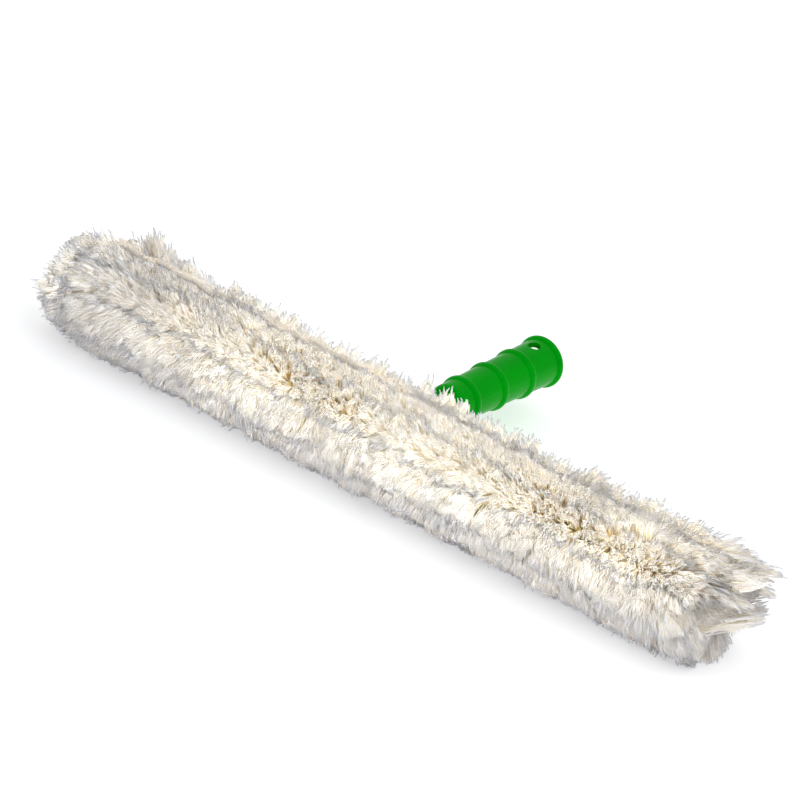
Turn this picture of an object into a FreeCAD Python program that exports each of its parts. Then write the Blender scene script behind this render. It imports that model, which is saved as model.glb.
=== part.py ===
import FreeCAD, Part
import math
import os
import re

import Sketcher

# Window scrubber: a T-shaped washer with a ringed socket handle and a pull-off pile sleeve.
# X runs along the crossbar, +Y along the handle towards its open end, +Z up, in millimetres.
# The origin lies on the floor, under the crossing of the crossbar's axis and the handle's axis.
# Every piece is drawn about that crossing and lifted to the bar's height through its Placement.

SIZES = [
    ("bar_length", 426.0, "crossbar over its end plugs"),
    ("bar_depth", 34.0, "crossbar section along the handle"),
    ("bar_thick", 20.0, "crossbar section, up and down"),
    ("bar_wall", 2.0, "crossbar wall"),
    ("plug_flange", 4.0, "thickness of an end plug outside the bar"),
    ("plug_insert", 18.0, "length of an end plug inside the bar"),
    ("plug_wall", 2.5, "wall of the plug's hollow insert"),
    ("plug_round", 2.0, "rounded outer edge of an end plug"),
    ("rivet_dia", 4.0, "shank of a plug rivet"),
    ("rivet_reach", 3.5, "rivet shank below the bar's wall"),
    ("rivet_head_dia", 6.4, "flush head of a plug rivet"),
    ("rivet_head_thick", 1.2, "thickness of that head"),
    ("core_length", 64.0, "reinforcing core inside the middle of the bar"),
    ("fit_gap", 0.1, "gap between pieces pushed into each other"),
    ("neck_width", 24.0, "flat neck along the bar"),
    ("neck_thick", 12.0, "flat neck, up and down"),
    ("seat_height", 6.0, "curved seat between the bar and the neck"),
    ("bolt_dia", 6.0, "shank of the handle bolt"),
    ("bolt_head_dia", 10.0, "head of the handle bolt"),
    ("bolt_head_high", 5.0, "height of that head"),
    ("bolt_head_sunk", 1.5, "head below the bar's front face"),
    ("bolt_key", 5.0, "key socket in the bolt's head, across the flats"),
    ("bolt_key_deep", 3.0, "depth of the key socket"),
    ("insert_dia", 9.0, "threaded insert in the neck, outside"),
    ("insert_length", 16.0, "threaded insert, length"),
    ("dowel_dia", 3.0, "dowels that keep the neck from turning"),
    ("dowel_reach", 6.0, "dowel length in the core and in the neck"),
    ("dowel_spacing", 15.6, "distance between the two dowels"),
    ("grip_start", 57.0, "bar axis to the handle's shoulder"),
    ("grip_length", 97.3, "shoulder to the open end"),
    ("grip_start_dia", 25.1, "handle at the shoulder"),
    ("grip_end_dia", 28.9, "handle at the open end"),
    ("shoulder_round", 5.0, "rounded shoulder"),
    ("ring_first", 16.4, "shoulder to the middle of the first ring"),
    ("ring_pitch", 26.1, "ring to ring"),
    ("ring_width", 6.0, "ring along the handle"),
    ("ring_rise", 1.4, "ring above the handle"),
    ("rim_width", 4.8, "thick rim at the open end"),
    ("rim_rise", 1.55, "rim above the handle"),
    ("socket_dia", 22.2, "pole socket"),
    ("socket_depth", 72.0, "depth of the pole socket"),
    ("mouth_bevel", 0.8, "bevel at the socket's mouth"),
    ("hang_hole_dia", 7.8, "hole for a hook or cord"),
    ("hang_hole_inset", 13.1, "that hole's centre from the open end"),
    ("sleeve_fit", 0.8, "gap between the bar and the sleeve's cloth"),
    ("cloth_thick", 1.2, "cloth that carries the pile"),
    ("mouth_gap", 0.5, "cloth past the bar's left end"),
    ("tail_gap", 12.0, "slack cloth past the bar's right end"),
    ("hem_width", 3.0, "rolled hem at the open mouth"),
    ("hem_rise", 1.0, "hem above the cloth"),
    ("pile_gap", 0.3, "gap between the cloth and the pile's solid"),
    ("pile_radius", 35.5, "outside of the pile from the bar axis"),
    ("rest_squash", 4.5, "pile pressed flat where it rests on the floor"),
    ("pile_left_over", 9.0, "pile past the bar's left end"),
    ("pile_right_over", 35.0, "pile past the bar's right end"),
    ("pile_left_round", 15.0, "rounded left end of the pile"),
    ("pile_right_round", 20.0, "rounded right end of the pile"),
    ("slot_gap", 1.0, "gap between the neck and the sleeve's slot"),
    ("strip_thick", 1.4, "hook and loop strips along the slot"),
    ("strip_height", 12.0, "those strips from the bar outwards"),
    ("strip_lead", 3.0, "strip ends from the hem and from the gusset"),
    ("gusset_reach", 4.0, "gusset past the neck, towards the open slot"),
    ("fin_thick", 2.4, "bound seam that stands up along the top"),
    ("fin_rear", 5.0, "seam's middle behind the bar axis"),
    ("fin_below", 4.0, "seam's edge below the pile's outside"),
    ("fin_split", 2.0, "half the gap between the closing and the sewn seam"),
    ("groove_front", 12.0, "groove in the pile, from the seam forwards at its top"),
    ("groove_back", 6.0, "that groove from the seam backwards at its top"),
    ("groove_deep", 14.5, "bottom of that groove below the pile's outside"),
    ("hollow_width", 22.0, "hollow where the pile parts"),
    ("hollow_deep", 3.5, "depth of such a hollow"),
    ("end_notch_deep", 12.0, "notch across the pile's right end, over its flat end seam"),
    ("end_notch_low", 3.0, "bottom of that notch below the bar axis"),
    ("end_notch_rise", 7.0, "upper lip of the notch above its bottom"),
    ("end_notch_fall", 24.0, "lower lip of the notch below its bottom"),
]
RING_COUNT = 3

# Ridge behind the seam: share of half the bar's length, and the drop below pile_radius
RIDGE_SWELLS = [
    (-0.97, 3.0), (-0.85, -0.6), (-0.76, 4.0), (-0.64, 6.0), (-0.57, 2.5), (-0.47, 6.0), (-0.37, 4.0),
    (-0.27, 5.5), (-0.15, 2.5), (-0.03, 4.5), (0.1, 3.0), (0.22, 7.0), (0.32, 5.5), (0.42, 4.0),
    (0.52, 6.5), (0.6, 2.5), (0.7, 4.0), (0.79, 6.0), (0.88, 0.5), (1.0, 0.0),
]
# Hollows of the pile: share of half the bar's length, and degrees from the top towards the front
PILE_HOLLOWS = [
    (-0.91, 66), (-0.82, 72), (-0.73, 78), (-0.6, 44), (-0.01, 56), (0.17, 56), (0.32, 46),
    (0.37, 70), (0.8, 76), (0.87, 54), (1.01, 98), (1.08, 60),
]

doc = FreeCAD.newDocument("window_scrubber")
sheet = doc.addObject("Spreadsheet::Sheet", "sizes")
for row, (alias, size, meaning) in enumerate(SIZES, start=1):
    sheet.set(f"A{row}", alias)
    sheet.set(f"B{row}", str(size))
    sheet.setAlias(f"B{row}", alias)
    sheet.set(f"C{row}", meaning)
doc.recompute()


def tie(text):
    """Expression on the sheet: every word with an underscore is one of its aliases."""
    return re.sub(r"[a-z]+(?:_[a-z]+)+", lambda word: "sizes." + word.group(0), text)


def number(text):
    """What a size expression comes to."""
    return float(sheet.evalExpression(tie(text)))


def bind(thing, ties):
    """Bind properties of an object to size expressions."""
    for prop, text in ties.items():
        thing.setExpression(prop, tie(text))


def point(corner):
    """Place of a corner, from its two expressions."""
    return FreeCAD.Vector(number(corner[0]), number(corner[1]), 0)


def named(sketch, constraint, name, text):
    """Add a driving constraint under a name and bind it."""
    index = sketch.addConstraint(constraint)
    sketch.renameConstraint(index, name)
    sketch.setExpression("Constraints." + name, tie(text))


def draw_loop(sketch, tag, corners):
    """Closed loop of lines and arcs. A corner is (x, y), or (x, y, centre x, centre y, turn) where
    an arc starts; turn is 1 against the clock and -1 with it."""
    starts = []
    ends = []
    for i, corner in enumerate(corners):
        here = point(corner)
        there = point(corners[(i + 1) % len(corners)])
        if len(corner) == 2:
            edge = sketch.addGeometry(Part.LineSegment(here, there))
            starts.append((edge, 1))
            ends.append((edge, 2))
            continue
        centre = point(corner[2:4])
        turn = corner[4]
        first, last = (here, there) if turn > 0 else (there, here)
        angles = [math.atan2(p.y - centre.y, p.x - centre.x) for p in (first, last)]
        circle = Part.Circle(centre, FreeCAD.Vector(0, 0, 1), (here - centre).Length)
        edge = sketch.addGeometry(Part.ArcOfCircle(circle, *angles))
        starts.append((edge, 1 if turn > 0 else 2))
        ends.append((edge, 2 if turn > 0 else 1))
        chord = there - here
        axis, text = ("X", corner[2]) if abs(chord.y) >= abs(chord.x) else ("Y", corner[3])
        rule = Sketcher.Constraint("Distance" + axis, edge, 3, getattr(centre, axis.lower()))
        named(sketch, rule, f"{tag}_{i}_centre", text)
    for i, corner in enumerate(corners):
        sketch.addConstraint(Sketcher.Constraint("Coincident", *ends[i - 1], *starts[i]))
        here = point(corner)
        for axis, text in zip("XY", corner):
            rule = Sketcher.Constraint("Distance" + axis, *starts[i], getattr(here, axis.lower()))
            named(sketch, rule, f"{tag}_{i}_{axis.lower()}", text)


def draw_circle(sketch, tag, x, y, dia):
    """Circle bound by its centre and its diameter."""
    centre = point((x, y))
    circle = Part.Circle(centre, FreeCAD.Vector(0, 0, 1), number(dia) / 2)
    edge = sketch.addGeometry(circle)
    named(sketch, Sketcher.Constraint("DistanceX", edge, 3, centre.x), f"{tag}_x", x)
    named(sketch, Sketcher.Constraint("DistanceY", edge, 3, centre.y), f"{tag}_y", y)
    named(sketch, Sketcher.Constraint("Diameter", edge, number(dia)), f"{tag}_dia", dia)


def sketch_on(body, name, role, offset="0", loops=(), circles=()):
    """Sketch on one of a body's own planes, moved along that plane's normal by offset."""
    sketch = body.newObject("Sketcher::SketchObject", name)
    plane = next(f for f in body.Origin.OriginFeatures if f.Role == role)
    sketch.AttachmentSupport = [(plane, "")]
    sketch.MapMode = "FlatFace"
    bind(sketch, {"AttachmentOffset.Base.z": offset})
    for i, loop in enumerate(loops):
        draw_loop(sketch, f"loop{i}", loop)
    for i, circle in enumerate(circles):
        draw_circle(sketch, f"circle{i}", *circle)
    return sketch


def new_body(name):
    """Body drawn about the crossing of the two axes."""
    return doc.addObject("PartDesign::Body", name)


def pad(body, sketch, length, flip=False):
    """Add the sketch's outline along its normal, or against it when flipped."""
    feature = body.newObject("PartDesign::Pad", sketch.Name + "_pad")
    feature.Profile = sketch
    feature.Reversed = flip
    bind(feature, {"Length": length})
    doc.recompute()
    return feature


def pocket(body, sketch, length, flip=False):
    """Cut the sketch's outline against its normal, or along it when flipped."""
    before = body.Shape.Volume
    feature = body.newObject("PartDesign::Pocket", sketch.Name + "_pocket")
    feature.Profile = sketch
    feature.Reversed = flip
    bind(feature, {"Length": length})
    doc.recompute()
    if body.Shape.Volume >= before:
        raise RuntimeError(sketch.Name + " cuts nothing")
    return feature


def revolve(body, sketch, axis):
    """Turn the sketch's outline once round one of its own axes."""
    feature = body.newObject("PartDesign::Revolution", sketch.Name + "_turn")
    feature.Profile = sketch
    feature.ReferenceAxis = (sketch, [axis])
    feature.Angle = 360
    doc.recompute()
    return feature


def obround(section):
    """Stadium-shaped loop about the origin, from its width and its smaller height."""
    width, height = section
    flat = f"(({width}) - ({height})) / 2"
    half = f"({height}) / 2"
    return [
        (f"-{flat}", f"-{half}"),
        (flat, f"-{half}", flat, "0", 1),
        (flat, half),
        (f"-{flat}", half, f"-{flat}", "0", 1),
    ]


def grown(section, margin):
    """Section with a margin added on every side."""
    return tuple(f"{side} + 2 * ({margin})" for side in section)


def box(name, low, high):
    """Plain block between two corners, given as expressions."""
    block = doc.addObject("Part::Box", name)
    for side, axis, a, b in zip(("Length", "Width", "Height"), "xyz", low, high):
        bind(block, {side: f"({b}) - ({a})", f"Placement.Base.{axis}": a})
    return block


def rod(name, dia, start, length, direction):
    """Plain round rod from a start point, given as expressions, along a direction."""
    cylinder = doc.addObject("Part::Cylinder", name)
    cylinder.Placement.Rotation = FreeCAD.Rotation(FreeCAD.Vector(0, 0, 1), direction)
    bind(cylinder, {"Radius": f"({dia}) / 2", "Height": length})
    bind(cylinder, {f"Placement.Base.{axis}": text for axis, text in zip("xyz", start)})
    return cylinder


def joined(name, parts):
    """One solid of several that overlap or meet."""
    fuse = doc.addObject("Part::MultiFuse", name)
    fuse.Shapes = parts
    return fuse


def grouped(name, parts):
    """Like solids listed as one piece and kept apart."""
    group = doc.addObject("Part::Compound", name)
    group.Links = parts
    return group


def cut(name, base, tool):
    """Base with the tool's space taken out."""
    result = doc.addObject("Part::Cut", name)
    result.Base = base
    result.Tool = tool
    return result


def ball(name, radius, centre):
    """Plain ball about a centre, given as expressions."""
    sphere = doc.addObject("Part::Sphere", name)
    bind(sphere, {"Radius": radius})
    bind(sphere, {f"Placement.Base.{axis}": text for axis, text in zip("xyz", centre)})
    return sphere


def shared(name, base, tool):
    """Space that both shapes fill."""
    result = doc.addObject("Part::Common", name)
    result.Base = base
    result.Tool = tool
    return result


ALONG_Y = FreeCAD.Vector(0, 1, 0)
DOWN = FreeCAD.Vector(0, 0, -1)

# Sections that several pieces share
BAR_OUT = ("bar_depth", "bar_thick")
BAR_IN = grown(BAR_OUT, "-bar_wall")
CORE = grown(BAR_IN, "-fit_gap")
NECK = ("neck_width", "neck_thick")
CLOTH_IN = grown(BAR_OUT, "sleeve_fit")
CLOTH_OUT = grown(CLOTH_IN, "cloth_thick")
HEM_OUT = grown(CLOTH_OUT, "hem_rise")

# Stations along the bar
TUBE_END = "(bar_length / 2 - plug_flange)"
RIVET_X = f"({TUBE_END} - plug_insert / 2)"
CLOTH_LEFT = "(-bar_length / 2 - mouth_gap)"
CLOTH_RIGHT = "(bar_length / 2 + tail_gap)"
PANEL_RIGHT = f"({CLOTH_RIGHT} + cloth_thick)"
HEM_LEFT = f"({CLOTH_LEFT} - hem_width)"
PILE_LEFT = "(-bar_length / 2 - pile_left_over)"
PILE_RIGHT = "(bar_length / 2 + pile_right_over)"
PAST_LEFT = f"({PILE_LEFT} - slot_gap)"
PAST_RIGHT = f"({PILE_RIGHT} + slot_gap)"
NECK_ARC_X = "((neck_width - neck_thick) / 2)"
GUSSET_LEFT = "(-neck_width / 2 - gusset_reach)"

# Stations along the handle
NECK_FOOT = "(bar_depth / 2 + seat_height)"
GRIP_END = "(grip_start + grip_length)"
BOLT_SEAT = "(-bar_depth / 2 + bolt_head_sunk + bolt_head_high)"
DOWEL_START = "(bar_depth / 2 - bar_wall - dowel_reach)"

# Stations above the bar axis, and the slot in the sleeve
SLOT_HALF = "(neck_thick / 2 + slot_gap)"
LINED_HALF = f"({SLOT_HALF} + strip_thick)"
CLOTH_TOP = "(bar_thick / 2 + sleeve_fit + cloth_thick)"
CLOTH_ARC_Y = "((bar_depth - bar_thick) / 2)"
STRIP_FOOT = f"({CLOTH_ARC_Y} + sqrt({CLOTH_TOP} ^ 2 - {SLOT_HALF} ^ 2) + pile_gap)"
STRIP_TOP = f"({STRIP_FOOT} + strip_height)"
GUSSET_FOOT = "(bar_depth / 2 + sleeve_fit + cloth_thick + pile_gap)"
FIN_FRONT = "(fin_rear - fin_thick / 2)"
FIN_BACK = "(fin_rear + fin_thick / 2)"
FIN_TOP = "(pile_radius - fin_below)"
CLEAR = "(pile_radius + slot_gap)"
BAR_HEIGHT = "(pile_radius - rest_squash)"

BOLT_HOLE = "bolt_dia + 2 * fit_gap"
HEAD_HOLE = "bolt_head_dia + 2 * fit_gap"
DOWEL_HOLE = "dowel_dia + 2 * fit_gap"
DOWEL_HOLES = [(f"{sign} * dowel_spacing / 2", "0", DOWEL_HOLE) for sign in (-1, 1)]

pieces = []


def keep(piece, label, foot="0"):
    """Lift a finished piece to the bar's height and list it under its own label. A plain block
    gives its foot above the bar axis."""
    piece.Label = label
    bind(piece, {"Placement.Base.z": f"{BAR_HEIGHT} + ({foot})"})
    pieces.append(piece)


def slot_loop(half):
    """Outline of the neck's slot: open to the left, round at its inner end."""
    return [
        (PAST_LEFT, f"-{half}"),
        (NECK_ARC_X, f"-{half}", NECK_ARC_X, "0", 1),
        (NECK_ARC_X, half),
        (PAST_LEFT, half),
    ]


def make_crossbar():
    """Obround tube with holes for the bolt, the dowels and the plug rivets."""
    body = new_body("crossbar")
    loops = [obround(BAR_OUT), obround(BAR_IN)]
    ring = sketch_on(body, "bar_ring", "YZ_Plane", f"-{TUBE_END}", loops)
    pad(body, ring, f"2 * {TUBE_END}")
    rear = sketch_on(
        body, "bar_rear_holes", "XZ_Plane", circles=[("0", "0", BOLT_HOLE)] + DOWEL_HOLES
    )
    pocket(body, rear, "bar_depth")
    front = sketch_on(body, "bar_front_hole", "XZ_Plane", circles=[("0", "0", HEAD_HOLE)])
    pocket(body, front, "bar_depth", flip=True)
    ends = [f"{sign} * {RIVET_X}" for sign in (-1, 1)]
    for name, dia, deep in (
        ("bar_rivet_holes", "rivet_dia", "bar_wall"),
        ("bar_rivet_sinks", "rivet_head_dia", "rivet_head_thick"),
    ):
        rounds = [(x, "0", f"{dia} + 2 * fit_gap") for x in ends]
        holes = sketch_on(body, name, "XY_Plane", "bar_thick / 2", circles=rounds)
        pocket(body, holes, deep)
    keep(body, "crossbar")


def make_tee_core():
    """Solid core inside the bar that takes the bolt's head and the dowels."""
    body = new_body("tee_core")
    block = sketch_on(body, "core_block", "YZ_Plane", "-core_length / 2", [obround(CORE)])
    pad(body, block, "core_length")
    bolt = sketch_on(body, "core_bolt", "XZ_Plane", "bar_depth", circles=[("0", "0", BOLT_HOLE)])
    pocket(body, bolt, "2 * bar_depth")
    head = sketch_on(body, "core_head", "XZ_Plane", "bar_depth", circles=[("0", "0", HEAD_HOLE)])
    pocket(body, head, f"bar_depth + {BOLT_SEAT}")
    dowels = sketch_on(body, "core_dowels", "XZ_Plane", f"-{DOWEL_START}", circles=DOWEL_HOLES)
    pocket(body, dowels, "bar_depth")
    keep(body, "tee_core")


def make_neck_seat():
    """Seat with the neck's outline, hollowed to the bar's round rear."""
    body = new_body("neck_seat")
    block = sketch_on(body, "seat_block", "XZ_Plane", f"-{CLOTH_ARC_Y}", [obround(NECK)])
    pad(body, block, f"{NECK_FOOT} - {CLOTH_ARC_Y}", flip=True)
    bed = sketch_on(body, "seat_bed", "YZ_Plane", "neck_width", [obround(BAR_OUT)])
    pocket(body, bed, "2 * neck_width")
    holes = [("0", "0", BOLT_HOLE)] + DOWEL_HOLES
    drill = sketch_on(body, "seat_holes", "XZ_Plane", circles=holes)
    pocket(body, drill, "bar_depth")
    keep(body, "neck_seat")


def grip_radius(along):
    """Radius of the tapered grip at a distance from its shoulder."""
    return f"(grip_start_dia + (grip_end_dia - grip_start_dia) * ({along}) / grip_length) / 2"


def raised_band(middle, width, rise):
    """Two corners of the grip's outline, with a rounded band standing up between them."""
    sag = f"(({width}) ^ 2 / 4 + ({rise}) ^ 2) / (2 * ({rise}))"
    centre = (f"{grip_radius(middle)} + ({rise}) - {sag}", f"grip_start + {middle}")
    start, end = f"{middle} - ({width}) / 2", f"{middle} + ({width}) / 2"
    return [
        (grip_radius(start), f"grip_start + {start}", *centre, 1),
        (grip_radius(end), f"grip_start + {end}"),
    ]


def make_handle_grip():
    """Tapered hollow grip with rings, a rim, a pole socket and a flat neck."""
    body = new_body("handle_grip")
    shoulder = f"({grip_radius('shoulder_round')} - shoulder_round)"
    outline = [
        ("0", "grip_start"),
        (shoulder, "grip_start", shoulder, "grip_start + shoulder_round", 1),
        (grip_radius("shoulder_round"), "grip_start + shoulder_round"),
    ]
    for i in range(RING_COUNT):
        outline += raised_band(f"(ring_first + {i} * ring_pitch)", "ring_width", "ring_rise")
    outline += raised_band("(grip_length - rim_width / 2)", "rim_width", "rim_rise")
    outline += [
        ("socket_dia / 2 + mouth_bevel", GRIP_END),
        ("socket_dia / 2", f"{GRIP_END} - mouth_bevel"),
        ("socket_dia / 2", f"{GRIP_END} - socket_depth"),
        ("0", f"{GRIP_END} - socket_depth"),
    ]
    revolve(body, sketch_on(body, "grip_outline", "XY_Plane", loops=[outline]), "V_Axis")
    neck = sketch_on(body, "grip_neck", "XZ_Plane", f"-{NECK_FOOT}", [obround(NECK)])
    pad(body, neck, f"grip_start + shoulder_round - {NECK_FOOT}", flip=True)
    thread = ("0", "0", "insert_dia + 2 * fit_gap")
    insert = sketch_on(body, "grip_insert_hole", "XZ_Plane", circles=[thread])
    pocket(body, insert, f"{NECK_FOOT} + insert_length + fit_gap")
    dowels = sketch_on(body, "grip_dowel_holes", "XZ_Plane", circles=DOWEL_HOLES)
    pocket(body, dowels, f"{NECK_FOOT} + dowel_reach + fit_gap")
    hang = ("0", f"{GRIP_END} - hang_hole_inset", "hang_hole_dia")
    hole = sketch_on(body, "grip_hang_hole", "XY_Plane", "grip_end_dia", circles=[hang])
    pocket(body, hole, "2 * grip_end_dia")
    keep(body, "handle_grip")


def make_handle_bolt():
    """Bolt from the bar's front face into the neck, with a six-sided key socket."""
    head_front = f"({BOLT_SEAT} - bolt_head_high)"
    head = rod("bolt_head", "bolt_head_dia", ("0", head_front, "0"), "bolt_head_high", ALONG_Y)
    reach = f"{NECK_FOOT} + insert_length - {BOLT_SEAT}"
    shank = rod("bolt_shank", "bolt_dia", ("0", BOLT_SEAT, "0"), reach, ALONG_Y)
    key = doc.addObject("Part::Prism", "bolt_key_hole")
    key.Polygon = 6
    key.Placement.Rotation = FreeCAD.Rotation(FreeCAD.Vector(0, 0, 1), ALONG_Y)
    bind(key, {"Circumradius": "bolt_key / sqrt(3)", "Height": "bolt_key_deep"})
    bind(key, {"Placement.Base.y": head_front})
    keep(cut("handle_bolt", joined("bolt_blank", [head, shank]), key), "handle_bolt")


def make_bolt_insert():
    """Threaded metal insert moulded into the foot of the neck."""
    start = ("0", NECK_FOOT, "0")
    outside = rod("insert_outside", "insert_dia", start, "insert_length", ALONG_Y)
    inside = rod("insert_inside", BOLT_HOLE, start, "insert_length", ALONG_Y)
    keep(cut("bolt_insert", outside, inside), "bolt_insert")


def make_dowels():
    """Two dowels through the core, the bar's rear wall, the seat and the neck."""
    length = "2 * dowel_reach + bar_wall + seat_height"
    rods = []
    for name, sign in (("dowel_left", -1), ("dowel_right", 1)):
        start = (f"{sign} * dowel_spacing / 2", DOWEL_START, "0")
        rods.append(rod(name, "dowel_dia", start, length, ALONG_Y))
    keep(grouped("neck_dowels", rods), "neck_dowels")


def make_end_plug(label, side):
    """Plug with a rounded flange over the bar's end and a hollow insert in it."""
    body = new_body(label)
    end = f"{side} * {TUBE_END}"
    flange = pad(
        body,
        sketch_on(body, label + "_flange", "YZ_Plane", end, [obround(BAR_OUT)]),
        "plug_flange",
        flip=side < 0,
    )
    outer = side * number("bar_length / 2")
    edges = enumerate(flange.Shape.Edges, start=1)
    rim = [f"Edge{i}" for i, edge in edges if abs(edge.CenterOfMass.x - outer) < 1e-6]
    soft = body.newObject("PartDesign::Fillet", label + "_round")
    soft.Base = (flange, rim)
    bind(soft, {"Radius": "plug_round"})
    doc.recompute()
    insert = sketch_on(body, label + "_insert", "YZ_Plane", end, [obround(CORE)])
    pad(body, insert, "plug_insert", flip=side > 0)
    loop = obround(grown(CORE, "-plug_wall"))
    hollow = sketch_on(body, label + "_hollow", "YZ_Plane", end, [loop])
    pocket(body, hollow, "plug_insert", flip=side < 0)
    hole = (f"{side} * {RIVET_X}", "0", "rivet_dia + 2 * fit_gap")
    drill = sketch_on(body, label + "_rivet_hole", "XY_Plane", "bar_thick / 2", circles=[hole])
    pocket(body, drill, "bar_thick / 2")
    keep(body, label)


def make_rivets():
    """Flush rivets that hold the end plugs."""
    rivets = []
    for name, sign in (("rivet_left", -1), ("rivet_right", 1)):
        top = (f"{sign} * {RIVET_X}", "0", "bar_thick / 2")
        head = rod(name + "_head", "rivet_head_dia", top, "rivet_head_thick", DOWN)
        shank = rod(name + "_shank", "rivet_dia", top, "bar_wall + rivet_reach", DOWN)
        rivets.append(joined(name, [head, shank]))
    keep(grouped("plug_rivets", rivets), "plug_rivets")


def make_sleeve_cloth():
    """Cloth tube round the bar, slotted for the neck from its open left mouth."""
    body = new_body("sleeve_cloth")
    loops = [obround(CLOTH_OUT), obround(CLOTH_IN)]
    ring = sketch_on(body, "cloth_ring", "YZ_Plane", CLOTH_LEFT, loops)
    pad(body, ring, f"{CLOTH_RIGHT} - {CLOTH_LEFT}")
    pocket(body, sketch_on(body, "cloth_slot", "XZ_Plane", loops=[slot_loop(SLOT_HALF)]), CLEAR)
    keep(body, "sleeve_cloth")


def make_mouth_hem():
    """Rolled hem round the sleeve's open mouth, parted at the slot."""
    body = new_body("mouth_hem")
    loops = [obround(HEM_OUT), obround(CLOTH_IN)]
    ring = sketch_on(body, "hem_ring", "YZ_Plane", HEM_LEFT, loops)
    pad(body, ring, "hem_width")
    pocket(body, sketch_on(body, "hem_slot", "XZ_Plane", loops=[slot_loop(SLOT_HALF)]), CLEAR)
    keep(body, "mouth_hem")


def make_end_panel():
    """Cloth panel that closes the sleeve's right end."""
    body = new_body("end_panel")
    panel = sketch_on(body, "panel_outline", "YZ_Plane", CLOTH_RIGHT, [obround(CLOTH_OUT)])
    pad(body, panel, "cloth_thick")
    keep(body, "end_panel")


def make_closure_strips():
    """Hook strip on the slot's upper lip and loop strip on its lower lip."""
    left, right = f"({CLOTH_LEFT} + strip_lead)", f"({GUSSET_LEFT} - strip_lead)"
    for label, low, high in (
        ("hook_strip", SLOT_HALF, LINED_HALF),
        ("loop_strip", f"-{LINED_HALF}", f"-{SLOT_HALF}"),
    ):
        keep(box(label, (left, STRIP_FOOT, low), (right, STRIP_TOP, high)), label, low)


def make_neck_gusset():
    """Bound edge of the slot's round end, about the neck."""
    body = new_body("neck_gusset")
    outline = [
        (GUSSET_LEFT, f"-{LINED_HALF}"),
        (NECK_ARC_X, f"-{LINED_HALF}", NECK_ARC_X, "0", 1),
        (NECK_ARC_X, LINED_HALF),
        (GUSSET_LEFT, LINED_HALF),
        (GUSSET_LEFT, SLOT_HALF),
        (NECK_ARC_X, SLOT_HALF, NECK_ARC_X, "0", -1),
        (NECK_ARC_X, f"-{SLOT_HALF}"),
        (GUSSET_LEFT, f"-{SLOT_HALF}"),
    ]
    band = sketch_on(body, "gusset_band", "XZ_Plane", f"-{GUSSET_FOOT}", [outline])
    pad(body, band, f"{STRIP_TOP} - {GUSSET_FOOT}", flip=True)
    keep(body, "neck_gusset")


def make_seams():
    """Bound edges of the pile cloth along the top: closing on the left, sewn on the right."""
    foot = f"({CLOTH_TOP} + pile_gap)"
    for label, left, right in (
        ("closing_seam", f"({CLOTH_LEFT} + strip_lead)", "-fin_split"),
        ("sewn_seam", "fin_split", CLOTH_RIGHT),
    ):
        keep(box(label, (left, FIN_FRONT, foot), (right, FIN_BACK, FIN_TOP)), label, foot)


def pile_hollows():
    """Balls that press the hollows into the pile where its yarn parts."""
    radius = "((hollow_width ^ 2 / 4 + hollow_deep ^ 2) / (2 * hollow_deep))"
    away = f"(pile_radius - hollow_deep + {radius})"
    balls = []
    for i, (share, turn) in enumerate(PILE_HOLLOWS):
        centre = (f"{share} * bar_length / 2", f"-{away} * sin({turn})", f"{away} * cos({turn})")
        balls.append(ball(f"pile_hollow_{i}", radius, centre))
    return balls


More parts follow.
